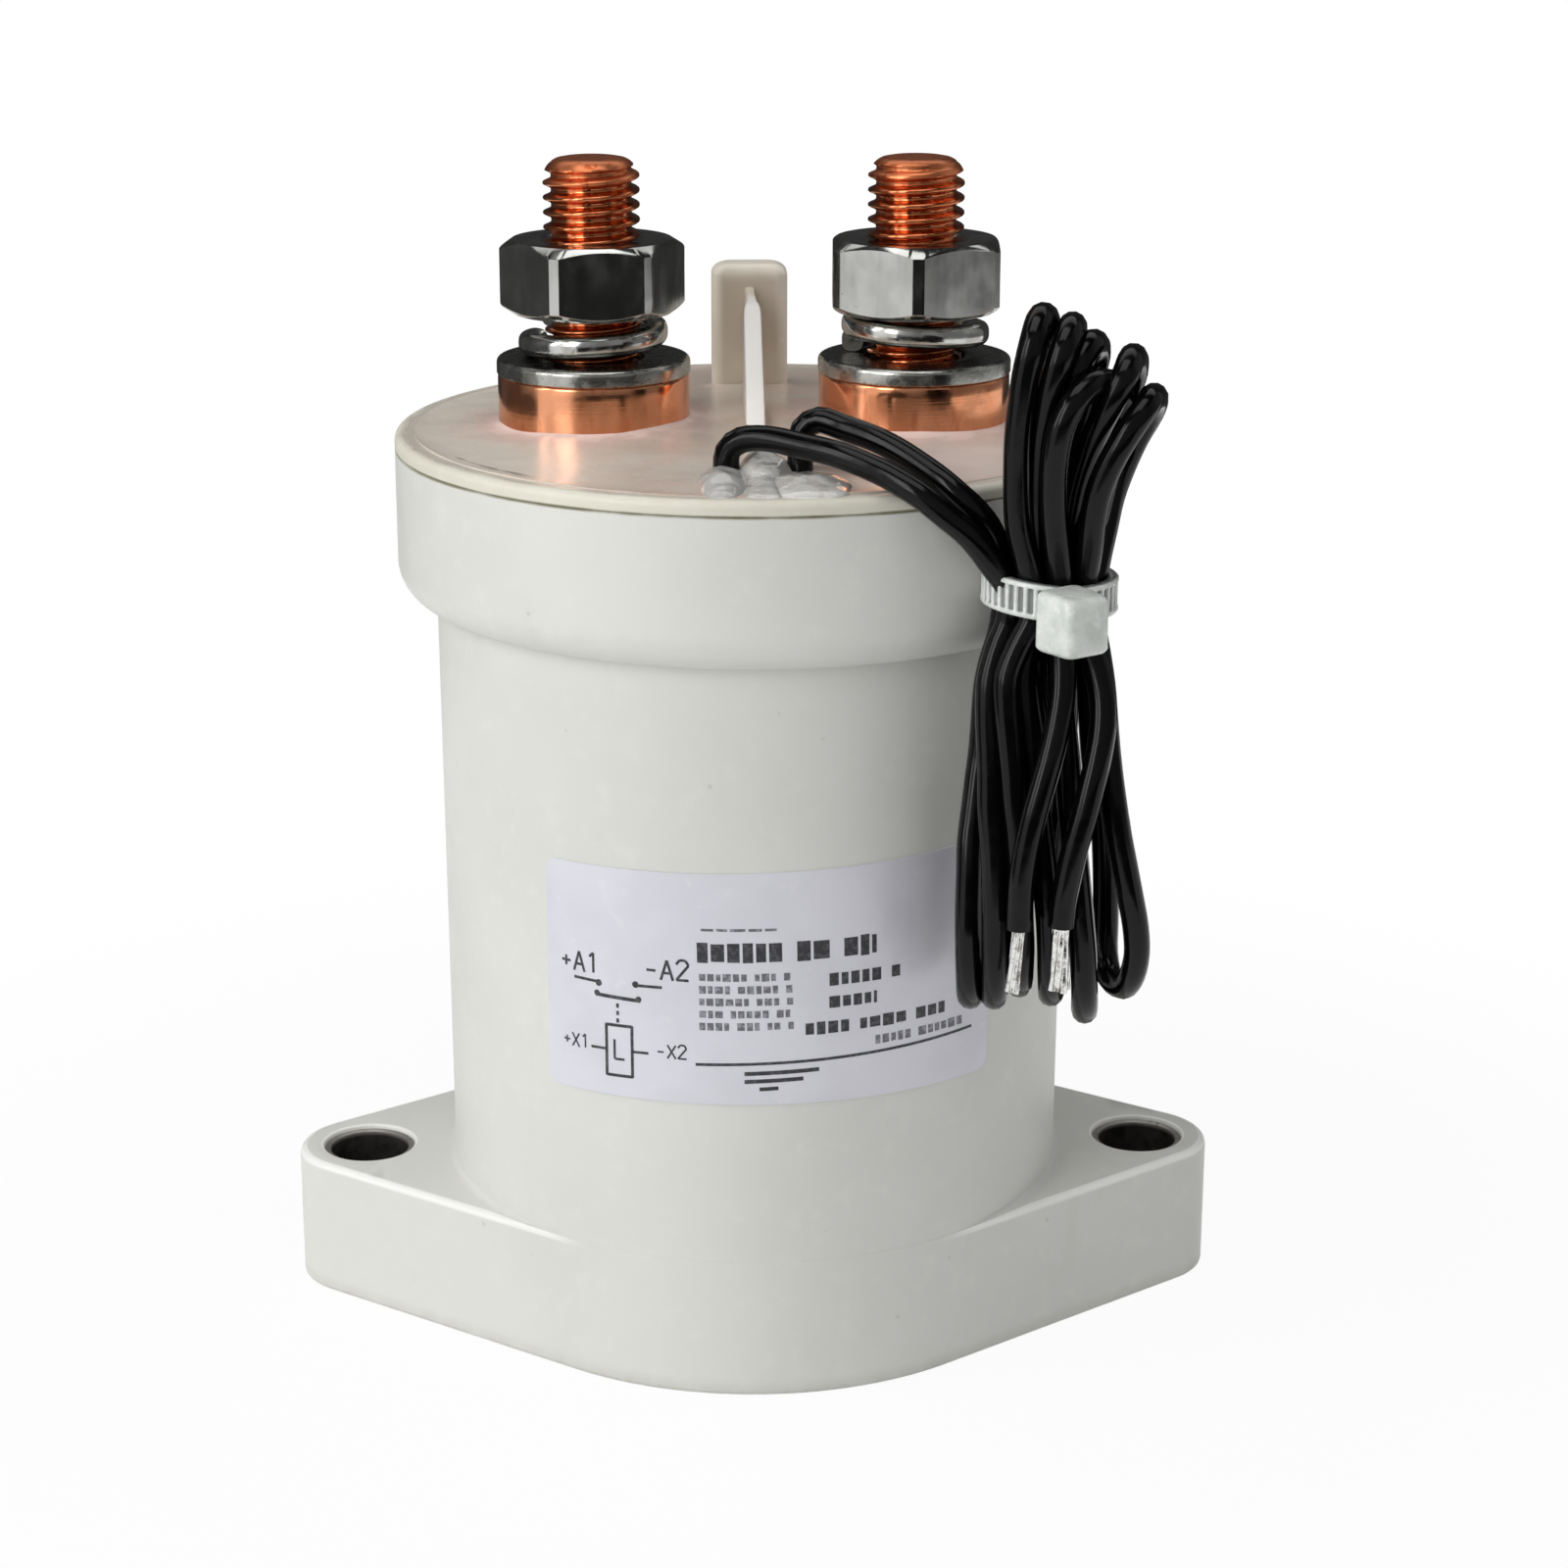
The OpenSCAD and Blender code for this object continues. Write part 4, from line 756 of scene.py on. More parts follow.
def make_housing():
    columns = foot_columns()
    n = len(columns)
    stacks, spin, wide = [], [], []
    for x, y, u, v in columns:
        reach = math.hypot(x, y)
        cx, cy = x / reach, y / reach
        width = reach - BODY_R
        wide.append(width > WIDE_FOOT)
        spin.append((cx, cy))
        t, f = min(FOOT_TOP_ROUND, 0.4 * width), min(FOOT_FILLET, 0.4 * width)
        low = FOOT_LOW_ROUND
        outline = [(low, 0)] + [(low - a, low - b) for a, b in arc(0, 0, low, 60, 0, 2)]
        outline += [(t - a, FOOT_T - t + b) for a, b in arc(0, 0, t, 0, 90, 3)]
        bend = [(BODY_R + f - a, FOOT_T + f - b) for a, b in arc(0, 0, f, 90, 0, 4)[:-1]]
        foot = [(x - u * depth, y - v * depth, z) for depth, z in outline]
        stacks.append(foot + [(r * cx, r * cy, z) for r, z in bend])
    rows = across(stacks)
    bend_row = len(outline)
    edge_at = (bend_row - 1) * n  # the first point of the foot's upper edge
    verts, faces = skin(rows + revolved(head_profile(), spin))

    # the flat of the foot's top: quads where it is narrow, filled triangles with the hole at each end
    strip = {frozenset((edge_at + k, edge_at + (k + 1) % n)) for k in range(n) if wide[k] or wide[(k + 1) % n]}

    def on_strip(f):
        on_edge = any(frozenset(pair) in strip for pair in zip(f, f[1:] + f[:1]))
        return on_edge and any(i // n == bend_row for i in f)

    parts = [(verts, [f for f in faces if not on_strip(f)])]
    bottom_holes = []
    for side in (-1, 1):
        picks = [k for k in range(n) if columns[k][0] * side > 0]
        picks = [k for k in picks if any(wide[(k + d) % n] for d in (-1, 0, 1))]
        start = next(k for k in picks if (k - 1) % n not in picks)
        run = [(start + i) % n for i in range(len(picks))]
        outer = [verts[edge_at + k][:2] for k in run]
        inner = [verts[bend_row * n + k][:2] for k in run]
        brim = HOLE_R + HOLE_CHAMFER
        ring = [(side * HOLE_X + brim * c, brim * s) for c, s in circle(64)]
        spots, tris = filled(outer + inner[::-1], [ring])
        parts.append(([(x, y, FOOT_T) for x, y in spots], tris))
        wall = [(brim, FOOT_T), (HOLE_R + 0.1, FOOT_T - 0.12), (HOLE_R, FOOT_T - HOLE_CHAMFER)]
        wall += [(HOLE_R, HOLE_CHAMFER), (brim, 0)]
        parts.append(skin(revolved(wall, circle(64), side * HOLE_X)))
        bottom_holes.append(ring)
    spots, tris = filled([p[:2] for p in rows[0]], bottom_holes)
    parts.append(([(x, y, 0) for x, y in spots], tris))
    piece("housing_moulding", welded(joined(*parts)), "housing", ["housing"], sharp=38)


def welded(shape, near=0.0005):
    """The same faces, with points that lie on each other made one."""
    verts, faces = shape
    seen, index, out = {}, [], []
    for v in verts:
        key = tuple(round(c / near) for c in v)
        if key not in seen:
            seen[key] = len(out)
            out.append(v)
        index.append(seen[key])
    faces = [list(dict.fromkeys(index[i] for i in f)) for f in faces]
    return out, [f for f in faces if len(f) > 2]


make_housing()

rim = [(MOUTH_R, JOINT_Z + JOINT_GAP), (HEAD_R - 0.16, JOINT_Z + JOINT_GAP), (HEAD_R - 0.16, JOINT_Z + 0.05)]
rim += [(HEAD_R - 0.04, JOINT_Z + 0.09), (HEAD_R, JOINT_Z + 0.2)]
rim += arc(HEAD_R - RIM_ROUND, RIM_Z - RIM_ROUND, RIM_ROUND, 0, 90, 7)
rim += [(MOUTH_R + 0.3, RIM_Z), (MOUTH_R, RIM_Z - 0.04)]
piece("rim_band", skin(revolved(rim, circle(240)), loop=True), "rim", ["rim_ring"])

bush = [(4.25, 0.9), (4.75, 0.4), (4.93, 0.55), (4.93, 14.45)]
bush += [(4.78, 14.6), (4.5, 14.6), (4.3, 14.45), (4.25, 14.2)]
for side, end in ((-1, "left"), (1, "right")):
    shape = skin(revolved(bush, circle(72), side * HOLE_X), loop=True)
    piece("bush_" + end, shape, "bush", ["mounting_bush_" + end])

# ---------------------------------------------------------------- barrier and resin

RESIN_EDGE = 94.85
RESIN_CROWN = 1.2
CAST_FLOOR = 93.0
CAST_R = 35.23
COLLAR_R = 9.9
POST_FRONT, POST_W, POST_T, POST_TOP = 17.5, 8.2, 4.6, 109.1
POST_Y = POST_FRONT + POST_T / 2
POST_CORNER = 1.2
FIN_FRONT, FIN_TOP, FIN_ROOT = -8.6, 106.7, 96.05
FIN_SLOPE = 6.1  # where the fin's top starts to slope down to the front
FIN_EDGE = 0.32


def make_barrier():
    rings = []
    for z in (COVER_Z, 94, 97, 100, 103, 105.5):
        rings.append([(x, y, z) for x, y in round_rect(0, POST_Y, POST_W / 2, POST_T / 2, POST_CORNER)])
    for c, s in map(cos_sin, evenly(0, 90, 10)):
        in_x, in_y = 1.7 * (1 - c), 0.9 * (1 - c)
        outline = round_rect(0, POST_Y, POST_W / 2 - in_x, POST_T / 2 - in_y, max(0.5, POST_CORNER - in_y * 0.5))
        rings.append([(x, y, POST_TOP - 1.3 + 1.3 * s) for x, y in outline])
    post = skin(rings, caps=True)

    # the fin: a thin rib whose top runs level from the post and then slopes down to the front
    # each point has its place from back to front, its depth under the top and half the rib's thickness
    crest = [(POST_Y, 0, 0.55), (POST_FRONT - 0.2, 0, 0.55), (POST_FRONT - 1.2, 0.05, 0.5)]
    crest += [(POST_FRONT - 3, 0.1, 0.5), (11, 0.1, 0.52), (9, 0.1, 0.6), (7.6, 0.2, 0.78), (6.8, 0.55, 0.9)]
    run, fall = FIN_FRONT - FIN_SLOPE, FIN_TOP - FIN_ROOT - 0.5
    crest += [(FIN_SLOPE, 1.1, 0.95)]
    crest += [(FIN_SLOPE + run * t, 1.1 + fall * t, 0.95 + 0.06 * t) for t in evenly(0, 1, 9)[1:]]
    crest += [(FIN_FRONT - 0.15, FIN_TOP - FIN_ROOT + 2.2, 1.02)]
    rings = []
    for y, drop, half in crest:
        z = FIN_TOP - drop
        left = [(-half - 0.1, CAST_FLOOR), (-half, z - FIN_EDGE), (-half + 0.1, z - 0.1), (-half + FIN_EDGE, z)]
        rings.append([(x, y, z) for x, z in left + [(-x, z) for x, z in left[::-1]]])
    fin = skin(rings, caps=True)
    plate = [(0, COVER_Z), (CAST_R, COVER_Z), (CAST_R, CAST_FLOOR - 0.1), (0, CAST_FLOOR - 0.1)]
    shape = joined(post, fin, skin(revolved(plate, circle(160))))
    piece("barrier_and_cover", shape, "barrier", ["cover_barrier"], sharp=32)


def barrier_distance(x, y):
    """How far a point is outside the barrier's root."""
    def outside(py, hx, hy, r):
        qx, qy = abs(x) - hx + r, abs(py) - hy + r
        return math.hypot(max(qx, 0), max(qy, 0)) + min(max(qx, qy), 0) - r
    post = outside(y - POST_Y, POST_W / 2, POST_T / 2, POST_CORNER)
    return min(post, outside(y - (POST_FRONT + FIN_FRONT) / 2, 1.05, (POST_FRONT - FIN_FRONT) / 2, 0.2))


def resin_height(x, y):
    """The level of the resin, which climbs at its edge and round the parts that stand in it."""
    r = math.hypot(x, y)
    z = RESIN_EDGE + RESIN_CROWN * (1 - (r / CAST_R) ** 2)
    for side in (-1, 1):
        d = max(0, math.hypot(x - side * STUD_X, y) - COLLAR_R)
        lump = 1 + 0.3 * wobble(x, y, 0, 4.5, side)
        z += 0.3 * lump * math.exp(-d / 0.6) + 0.14 * lump * math.exp(-d / 2.4)
    z += 0.4 * math.exp(-max(0, barrier_distance(x, y)) / 0.5)
    z += 0.24 * math.exp(-max(0, CAST_R - r) / 0.9) * (1 + 0.3 * wobble(x, y, 3, 5))
    return z + 0.10 * wobble(x, y, 0, 7) + 0.05 * wobble(x, y, 1, 3)


def make_resin():
    ring = circle(220)

    def round_collar(side, gap):
        return [(side * STUD_X + (COLLAR_R + gap) * c, (COLLAR_R + gap) * s) for c, s in ring[::2]]

    extra = []
    for gap in (0.22, 0.5, 0.85, 1.3, 1.9, 2.7, 3.8):
        extra += round_collar(-1, gap) + round_collar(1, gap)
        extra += [((CAST_R - gap) * c, (CAST_R - gap) * s) for c, s in ring]
    # a coarse grid over the whole disc and a fine one along the barrier and in front of it
    for step, flat, across_x, along_y in (
        (0.85, 0.87, range(-44, 45), range(-48, 49)), (0.3, 0.95, range(-22, 23), range(-36, 86)),
    ):
        extra += [((i + 0.5 * (j % 2)) * step, j * step * flat) for i in across_x for j in along_y]
    # only points that keep their distance from the edges and from each other stay
    coarse, fine = 0.6, 0.24
    keep, cells = [], {}
    for x, y in extra:
        wall = CAST_R - math.hypot(x, y)
        collar = min(math.hypot(x - s * STUD_X, y) for s in (-1, 1)) - COLLAR_R
        barrier = barrier_distance(x, y)
        if wall < 0.15 or collar < 0.15 or barrier < -0.4:
            continue
        near = fine if barrier < 1.6 or wall < 1.2 or collar < 1.2 else coarse
        i, j = round(x / coarse), round(y / coarse)
        around = [p for a in (i - 1, i, i + 1) for b in (j - 1, j, j + 1) for p in cells.get((a, b), ())]
        if all(math.dist((x, y), p) >= near for p in around):
            cells.setdefault((i, j), []).append((x, y))
            keep.append((x, y))
    holes = [round_collar(side, 0.01) for side in (-1, 1)]
    spots, tris = filled([(CAST_R * c, CAST_R * s) for c, s in ring], holes, keep)
    top = [(x, y, resin_height(x, y)) for x, y in spots]
    shape = thick_sheet(top, [(x, y, CAST_FLOOR) for x, y in spots], tris)
    piece("resin_top", shape, "resin", ["potting"], sharp=70, flat=False)


make_barrier()
make_resin()

SEALS = (
    # the lumps of each dab: middle, half width, half depth, crown's shift to the back, height, seed
    ((-3.85, -30.4, 2.5, 5.6, 0.9, 1.3, 1),),
    (
        (0.3, -24.4, 2.6, 4.2, 1.2, 1.5, 2),
        (4.4, -31.2, 4.4, 5.2, 0.4, 0.95, 3),
        (0.1, -31.4, 2.4, 5.0, 0.3, 0.6, 4),
    ),
)
SEAL_FOOT = 94.2  # the level inside the resin where a lump's wall ends


def seal_lump(sx, sy, wide, deep, back, tall, seed):
    rings = [[(sx, sy + back, resin_height(sx, sy + back) + tall)]]
    for rho in evenly(0.1, 1, 18):
        ring = []
        for c, s in circle(80):
            reach = 1 + 0.16 * wobble(c * 2, s * 2, seed, 1.6, seed)
            x = sx + wide * rho * reach * c
            y = sy + back * (1 - rho) + deep * rho * reach * s
            dome = max(0.0, 1 - rho ** 2.2) ** 0.8
            lump = tall * dome * (1 + 0.22 * wobble(x, y, seed, 2.1, seed) + 0.07 * wobble(x, y, seed, 0.8, seed))
            ring.append((x, y, resin_height(x, y) + lump - 0.1 * rho))
        rings.append(ring)
    rings.append([(x, y, SEAL_FOOT) for x, y, _ in rings[-1]])
    return skin(rings + [[(sx, sy, SEAL_FOOT - 0.2)]])


for number, lumps in enumerate(SEALS, 1):
    shape = joined(*(seal_lump(*lump) for lump in lumps))
    piece("seal_lump_%d" % number, shape, "seal", ["seal_dab_%d" % number], sharp=80, flat=False)

# ---------------------------------------------------------------- terminals and their fasteners

TIP_Z = 122.7
TIP_ROUND = 2.6
THREAD_PITCH = 1.5
THREAD_STEPS = 176
CREST_R = 4.95
ROOT_R = 4.12
NUT_Z = 107.0
NUT_H = 7.5
NUT_AF = 17
NUT_BORE = 4.6
NUT_SOFT = 0.16  # how far the nut's chamfer is rounded off
SPLIT_R = 7.7
SPLIT_HALF = 1.2  # half the width of the split washer's wire
SPLIT_TURN = 360 * 0.955
WIRE_SQUARE = 2.7  # how square the wire's section is, where 2 is round


def thread_radius(turn, z):
    """Radius of the thread at a share of a turn and a height."""
    p = (z / THREAD_PITCH - turn) % 1
    d = 1 - abs(2 * p - 1)
    d = min(1, max(0, (d - 0.22) / 0.68))
    return ROOT_R + (CREST_R - ROOT_R) * (0.5 - 0.5 * math.cos(math.pi * d ** 0.9))


def make_terminal(x, end, phase):
    spin = circle(96)
    low = [(0, 76.5), (4.9, 76.5), (5.3, 76.7), (5.5, 77.1), (5.5, 84), (5.5, 91.2), (9.7, 91.2), (COLLAR_R, 91.4)]
    low += [(COLLAR_R, z) for z in (93, 95, 96.5, 98, 99.4)]
    low += arc(COLLAR_R - 0.35, SEAT_Z - 0.35, 0.35, 0, 90, 3) + [(5.6, SEAT_Z)]
    rings = revolved(low, spin, x)
    for z in evenly(SEAT_Z + 0.02, TIP_Z, THREAD_STEPS + 1):
        left = TIP_Z - z
        # the end's rounded chamfer cuts the thread off
        cap = CREST_R + 0.1 if left > TIP_ROUND else 2.9 + 2.15 * math.sqrt(1 - (1 - left / TIP_ROUND) ** 2)
        radii = [min(thread_radius(phase + k / len(spin), z), cap) for k in range(len(spin))]
        rings.append([(x + r * c, r * s, z) for r, (c, s) in zip(radii, spin)])
    rings += revolved([(2.6, TIP_Z), (1.4, TIP_Z - 0.04), (0, TIP_Z - 0.08)], spin, x)
    piece("terminal_stud_" + end, skin(rings), "copper", ["terminal_" + end], sharp=50, flat=False)


def make_nut(x, end, turn):
    face_r = 0.478 * NUT_AF
    corner = NUT_AF / math.sqrt(3)
    stacks = []
    for k in range(360):
        fold = abs((k + 30) % 60 - 30)
        c, s = cos_sin(k + turn + 30)
        flat_r = NUT_AF / 2 / math.cos(math.radians(fold))
        if fold >= 26:
            flat_r = min(flat_r, corner - 0.34 + 0.0085 * (30 - fold) * (NUT_AF / 20))
        drop = max(0.05, (flat_r - face_r) * math.tan(math.radians(30)))
        column = [(NUT_BORE, 0.75), (5.3, 0.04), (face_r - 0.2, 0), (face_r + 0.06, 0.02)]
        column += [(flat_r - NUT_SOFT, drop - NUT_SOFT * 0.4), (flat_r, drop + NUT_SOFT), (flat_r, NUT_H / 2)]
        column += [(flat_r, NUT_H - drop - NUT_SOFT), (flat_r - NUT_SOFT, NUT_H - drop + NUT_SOFT * 0.4)]
        column += [(face_r + 0.1, NUT_H - 0.03), (face_r - 0.15, NUT_H), (5.55, NUT_H), (5.35, NUT_H - 0.06)]
        column += [(NUT_BORE, NUT_H - 0.8), (NUT_BORE, NUT_H / 2)]
        stacks.append([(x + r * c, r * s, NUT_Z + z) for r, z in column])
    piece("nut_" + end, skin(across(stacks), loop=True), "nut", ["hex_nut_" + end], sharp=24)


def make_split_washer(x, end, start, hand):
    section = []
    for c, s in circle(28):
        scale = SPLIT_HALF / (abs(c) ** WIRE_SQUARE + abs(s) ** WIRE_SQUARE) ** (1 / WIRE_SQUARE)
        section.append((c * scale, s * scale))
    low, high = SEAT_Z + WASHER_T + SPLIT_HALF, NUT_Z - SPLIT_HALF
    rings = []
    for share in evenly(0, 1, 111):
        c, s = cos_sin(start + hand * SPLIT_TURN * share)
        size = 0.93 if share in (0, 1) else 1
        z = low + (high - low) * share
        radii = [SPLIT_R - SPLIT_HALF + u * size for u, _ in section]
        rings.append([(x + r * c, r * s, z + w * size) for r, (_, w) in zip(radii, section)])
    shape = skin(rings, caps=True)
    piece("split_washer_" + end, shape, "split", ["spring_washer_" + end], sharp=50, flat=False)


washer = [(5.25, 0.15), (5.4, 0.0), (9.85, 0.0), (10, 0.14)] + arc(9.45, WASHER_T - 0.55, 0.55, 0, 80, 5)
washer += [(9.2, WASHER_T), (6.5, WASHER_T), (5.5, WASHER_T), (5.28, WASHER_T - 0.12), (5.25, WASHER_T - 0.4)]
washer = [(r, SEAT_Z + z) for r, z in washer]
for x, end, turn, start, hand, phase in (
    (-STUD_X, "left", 7, 152, 1, 0.1), (STUD_X, "right", 27.7, 168, -1, 0.55),
):
    make_terminal(x, end, phase)
    make_nut(x, end, turn)
    make_split_washer(x, end, start, hand)
    shape = skin(revolved(washer, circle(160), x), loop=True)
    piece("flat_washer_%s_turned" % end, shape, "washer", ["flat_washer_" + end])

# ---------------------------------------------------------------- cable tie

STRAP_IN = 5.48
STRAP_T = 1.1
STRAP_W = 3.4
STRAP_LIFT = 0.7
STRAP_TEETH = 40
TIE_HEAD = (28.5, -43.2, 84.6)
TIE_TURN = 34
TIE_HALF_W, TIE_HALF_H, TIE_SOFT = 2.6, 2.9, 0.75


def make_strap():
    """A flat band with raised rails along both edges and a ladder of teeth between them."""
    half = STRAP_W / 2
    rail = STRAP_IN + STRAP_T
    rings = []
    for a in range(360):
        c, s = cos_sin(a)
        tooth = 0.5 + 0.5 * math.cos(math.radians(a * STRAP_TEETH))
        web = rail - 0.42 + 0.36 * min(1, max(0, tooth * 1.7 - 0.35))
        lean = 0.2 + 0.75 * max(0, math.cos(math.radians(a - 195)))
        low = [(STRAP_IN, -half + 0.15), (STRAP_IN + 0.15, -half), (rail - 0.15, -half)]
        low += [(rail, -half + 0.14), (rail, -half + 0.42), (web, -half + 0.58)]
        section = low + [(r, -z) for r, z in low[::-1]]
        rings.append([(WAIST[0] + r * c, WAIST[1] + r * s, WAIST[2] + STRAP_LIFT + z + lean) for r, z in section])
    return skin(rings, loop=True)


def make_tie():
    c, s = cos_sin(TIE_TURN)

    def head_point(x, y, z):
        """A place in the head, which is turned so that one upright edge faces the front."""
        return (TIE_HEAD[0] + x * c - y * s, TIE_HEAD[1] + x * s + y * c, TIE_HEAD[2] + z)

    # the head: a small block with soft edges
    wide, soft = TIE_HALF_W, TIE_SOFT
    rings = []
    for t in evenly(-90, 90, 13):
        level, rise = cos_sin(t)
        half = wide - soft * (1 - level)
        z = math.copysign(TIE_HALF_H - soft, t) + soft * rise if t else 0
        ring = []
        for x, y in round_rect(0, 0, half, half, soft, 6):
            dent = 0.10 * wobble(x, y, z, 2.2, 4)
            # the slot's mouth shows as a shallow dish in the face beside the front edge
            if x > 0 and abs(y) < wide:
                dish = max(0, 1 - ((y + 0.2) / 1.5) ** 2) * max(0, 1 - (z / 1.2) ** 2)
                dent -= 0.22 * dish * (x / wide) ** 6
            k = 1 + dent / wide
            ring.append(head_point(x * k, y * k, z + 0.15 * (z > 0) * (y / wide)))
        rings.append(ring)
    head = skin(rings, caps=True)
    # the cut end of the strap, standing a little out of the head on its right
    section = [(-0.5, -1.5), (0.5, -1.5), (0.55, -1.35), (0.55, 1.35)]
    section += [(-u, -z) for u, z in section]
    rings = []
    for t in evenly(0, 1, 5):
        rings.append([head_point(wide - 0.3 + 1.1 * t, 1.2 + u, z * (1 - 0.06 * t)) for u, z in section])
    shape = joined(make_strap(), head, skin(rings, caps=True))
    piece("cable_tie_strap", shape, "nylon", ["cable_tie"], sharp=55, flat=False)


make_tie()

# ---------------------------------------------------------------- label

LABEL_START = 229.5
LABEL_R = 33.12
LABEL_W = 49.1
LABEL_H = 24.9
LABEL_CORNER = 1.3
FILM = (0.01, 0.14)  # the heights over the body between which the film lies
INK = (0.12, 0.16)
LABEL_STEP = 0.8  # how often what lies round the body has points


def on_body(u, z, lift):
    """A place on the body by its arc length from the label's left edge and its height."""
    a = math.radians(LABEL_START) + u / LABEL_R
    r = body_radius(z) + lift
    return (r * math.cos(a), r * math.sin(a), z)


def crooked(s, t):
    """The label was put on a little askew: s and t run over its own width and height."""
    left, right = 32.1 + t * 24.2, 32.5 + t * 25.3
    share = s / LABEL_W
    return left * (1 - share) + right * share - 0.25 * math.sin(math.pi * share) * (t - 0.5)


def sheet_on_body(spots, tris, heights):
    """A thin closed sheet from flat faces, wrapped on the body between two heights above it."""
    under, over = ([on_body(u, z, height) for u, z in spots] for height in heights)
    return thick_sheet(over, under, tris)


def make_label():
    edge = round_rect(LABEL_W / 2, LABEL_H / 2, LABEL_W / 2, LABEL_H / 2, LABEL_CORNER, 8)
    loop = []
    for (ax, ay), (bx, by) in zip(edge, edge[1:] + edge[:1]):
        n = max(1, round(math.dist((ax, ay), (bx, by)) / LABEL_STEP))
        loop += [(ax + (bx - ax) * i / n, ay + (by - ay) * i / n) for i in range(n)]
    step, off = LABEL_STEP, LABEL_STEP / 2
    grid = [(u, v) for u in np.arange(step, LABEL_W - off, step) for v in np.arange(step, LABEL_H - off, 2 * step)]
    spots, tris = filled(loop, (), grid)
    shape = sheet_on_body([(u, crooked(u, v / LABEL_H)) for u, v in spots], tris, FILM)
    piece("label_sheet", shape, "label", ["label"], sharp=60, flat=False)


def bar(u0, z0, u1, z1, width):
    """A straight stroke of ink."""
    length = math.hypot(u1 - u0, z1 - z0)
    n = max(1, round(length / LABEL_STEP))
    ox, oz = -(z1 - z0) / length * width / 2, (u1 - u0) / length * width / 2
    spots = []
    for i in range(n + 1):
        u, z = u0 + (u1 - u0) * i / n, z0 + (z1 - z0) * i / n
        spots += [(u + ox, z + oz), (u - ox, z - oz)]
    return sheet_on_body(spots, [[2 * i, 2 * i + 1, 2 * i + 3, 2 * i + 2] for i in range(n)], INK)


def dot(u, z, r):
    n = 14
    spots = [(u, z)] + [(u + r * c, z + r * s) for c, s in circle(n)]
    return sheet_on_body(spots, [[0, i + 1, (i + 1) % n + 1] for i in range(n)], INK)


def words(u0, u1, z, height, seed, gap, letter):
    """A row of small solid blocks that stands for a line of print."""
    rng = np.random.default_rng(seed)
    out, u, run = [], u0, int(rng.integers(3, 7))
    while u < u1 - 0.3:
        w = min(letter * rng.uniform(0.6, 1.1), u1 - u)
        low = z + 0.02 * (u - u0)
        out.append(bar(u, low, u + w, low + 0.02 * w, height * rng.uniform(0.82, 1.0)))
        u += w + gap
        run -= 1
        if run == 0:
            u += letter * 0.8
            run = int(rng.integers(2, 7))
    return out


GLYPHS = {
    # the strokes of a sign in a box 0.6 wide and 1 high, each from one point to another
    "A": ((0, 0, 0.3, 1), (0.6, 0, 0.3, 1), (0.12, 0.36, 0.48, 0.36)),
    "X": ((0, 0, 0.6, 1), (0.6, 0, 0, 1)),
    "1": ((0.34, 0, 0.34, 1), (0.34, 1, 0.12, 0.78)),
    "2": ((0, 0.78, 0.16, 1), (0.16, 1, 0.44, 1), (0.44, 1, 0.6, 0.76), (0.6, 0.76, 0, 0), (0, 0, 0.6, 0)),
    "+": ((0.05, 0.5, 0.55, 0.5), (0.3, 0.25, 0.3, 0.75)),
    "-": ((0.05, 0.5, 0.5, 0.5),),
}


def terminal_mark(text, u, z, height):
    """A plain terminal mark of the wiring sign, in single strokes."""
    out = []
    for i, sign in enumerate(text):
        left, low = u + 0.76 * height * i, z + 0.06 * height * i
        for a, b, c, d in GLYPHS[sign]:
            out.append(bar(left + height * a, low + height * b, left + height * c, low + height * d, 0.13 * height))
    return out


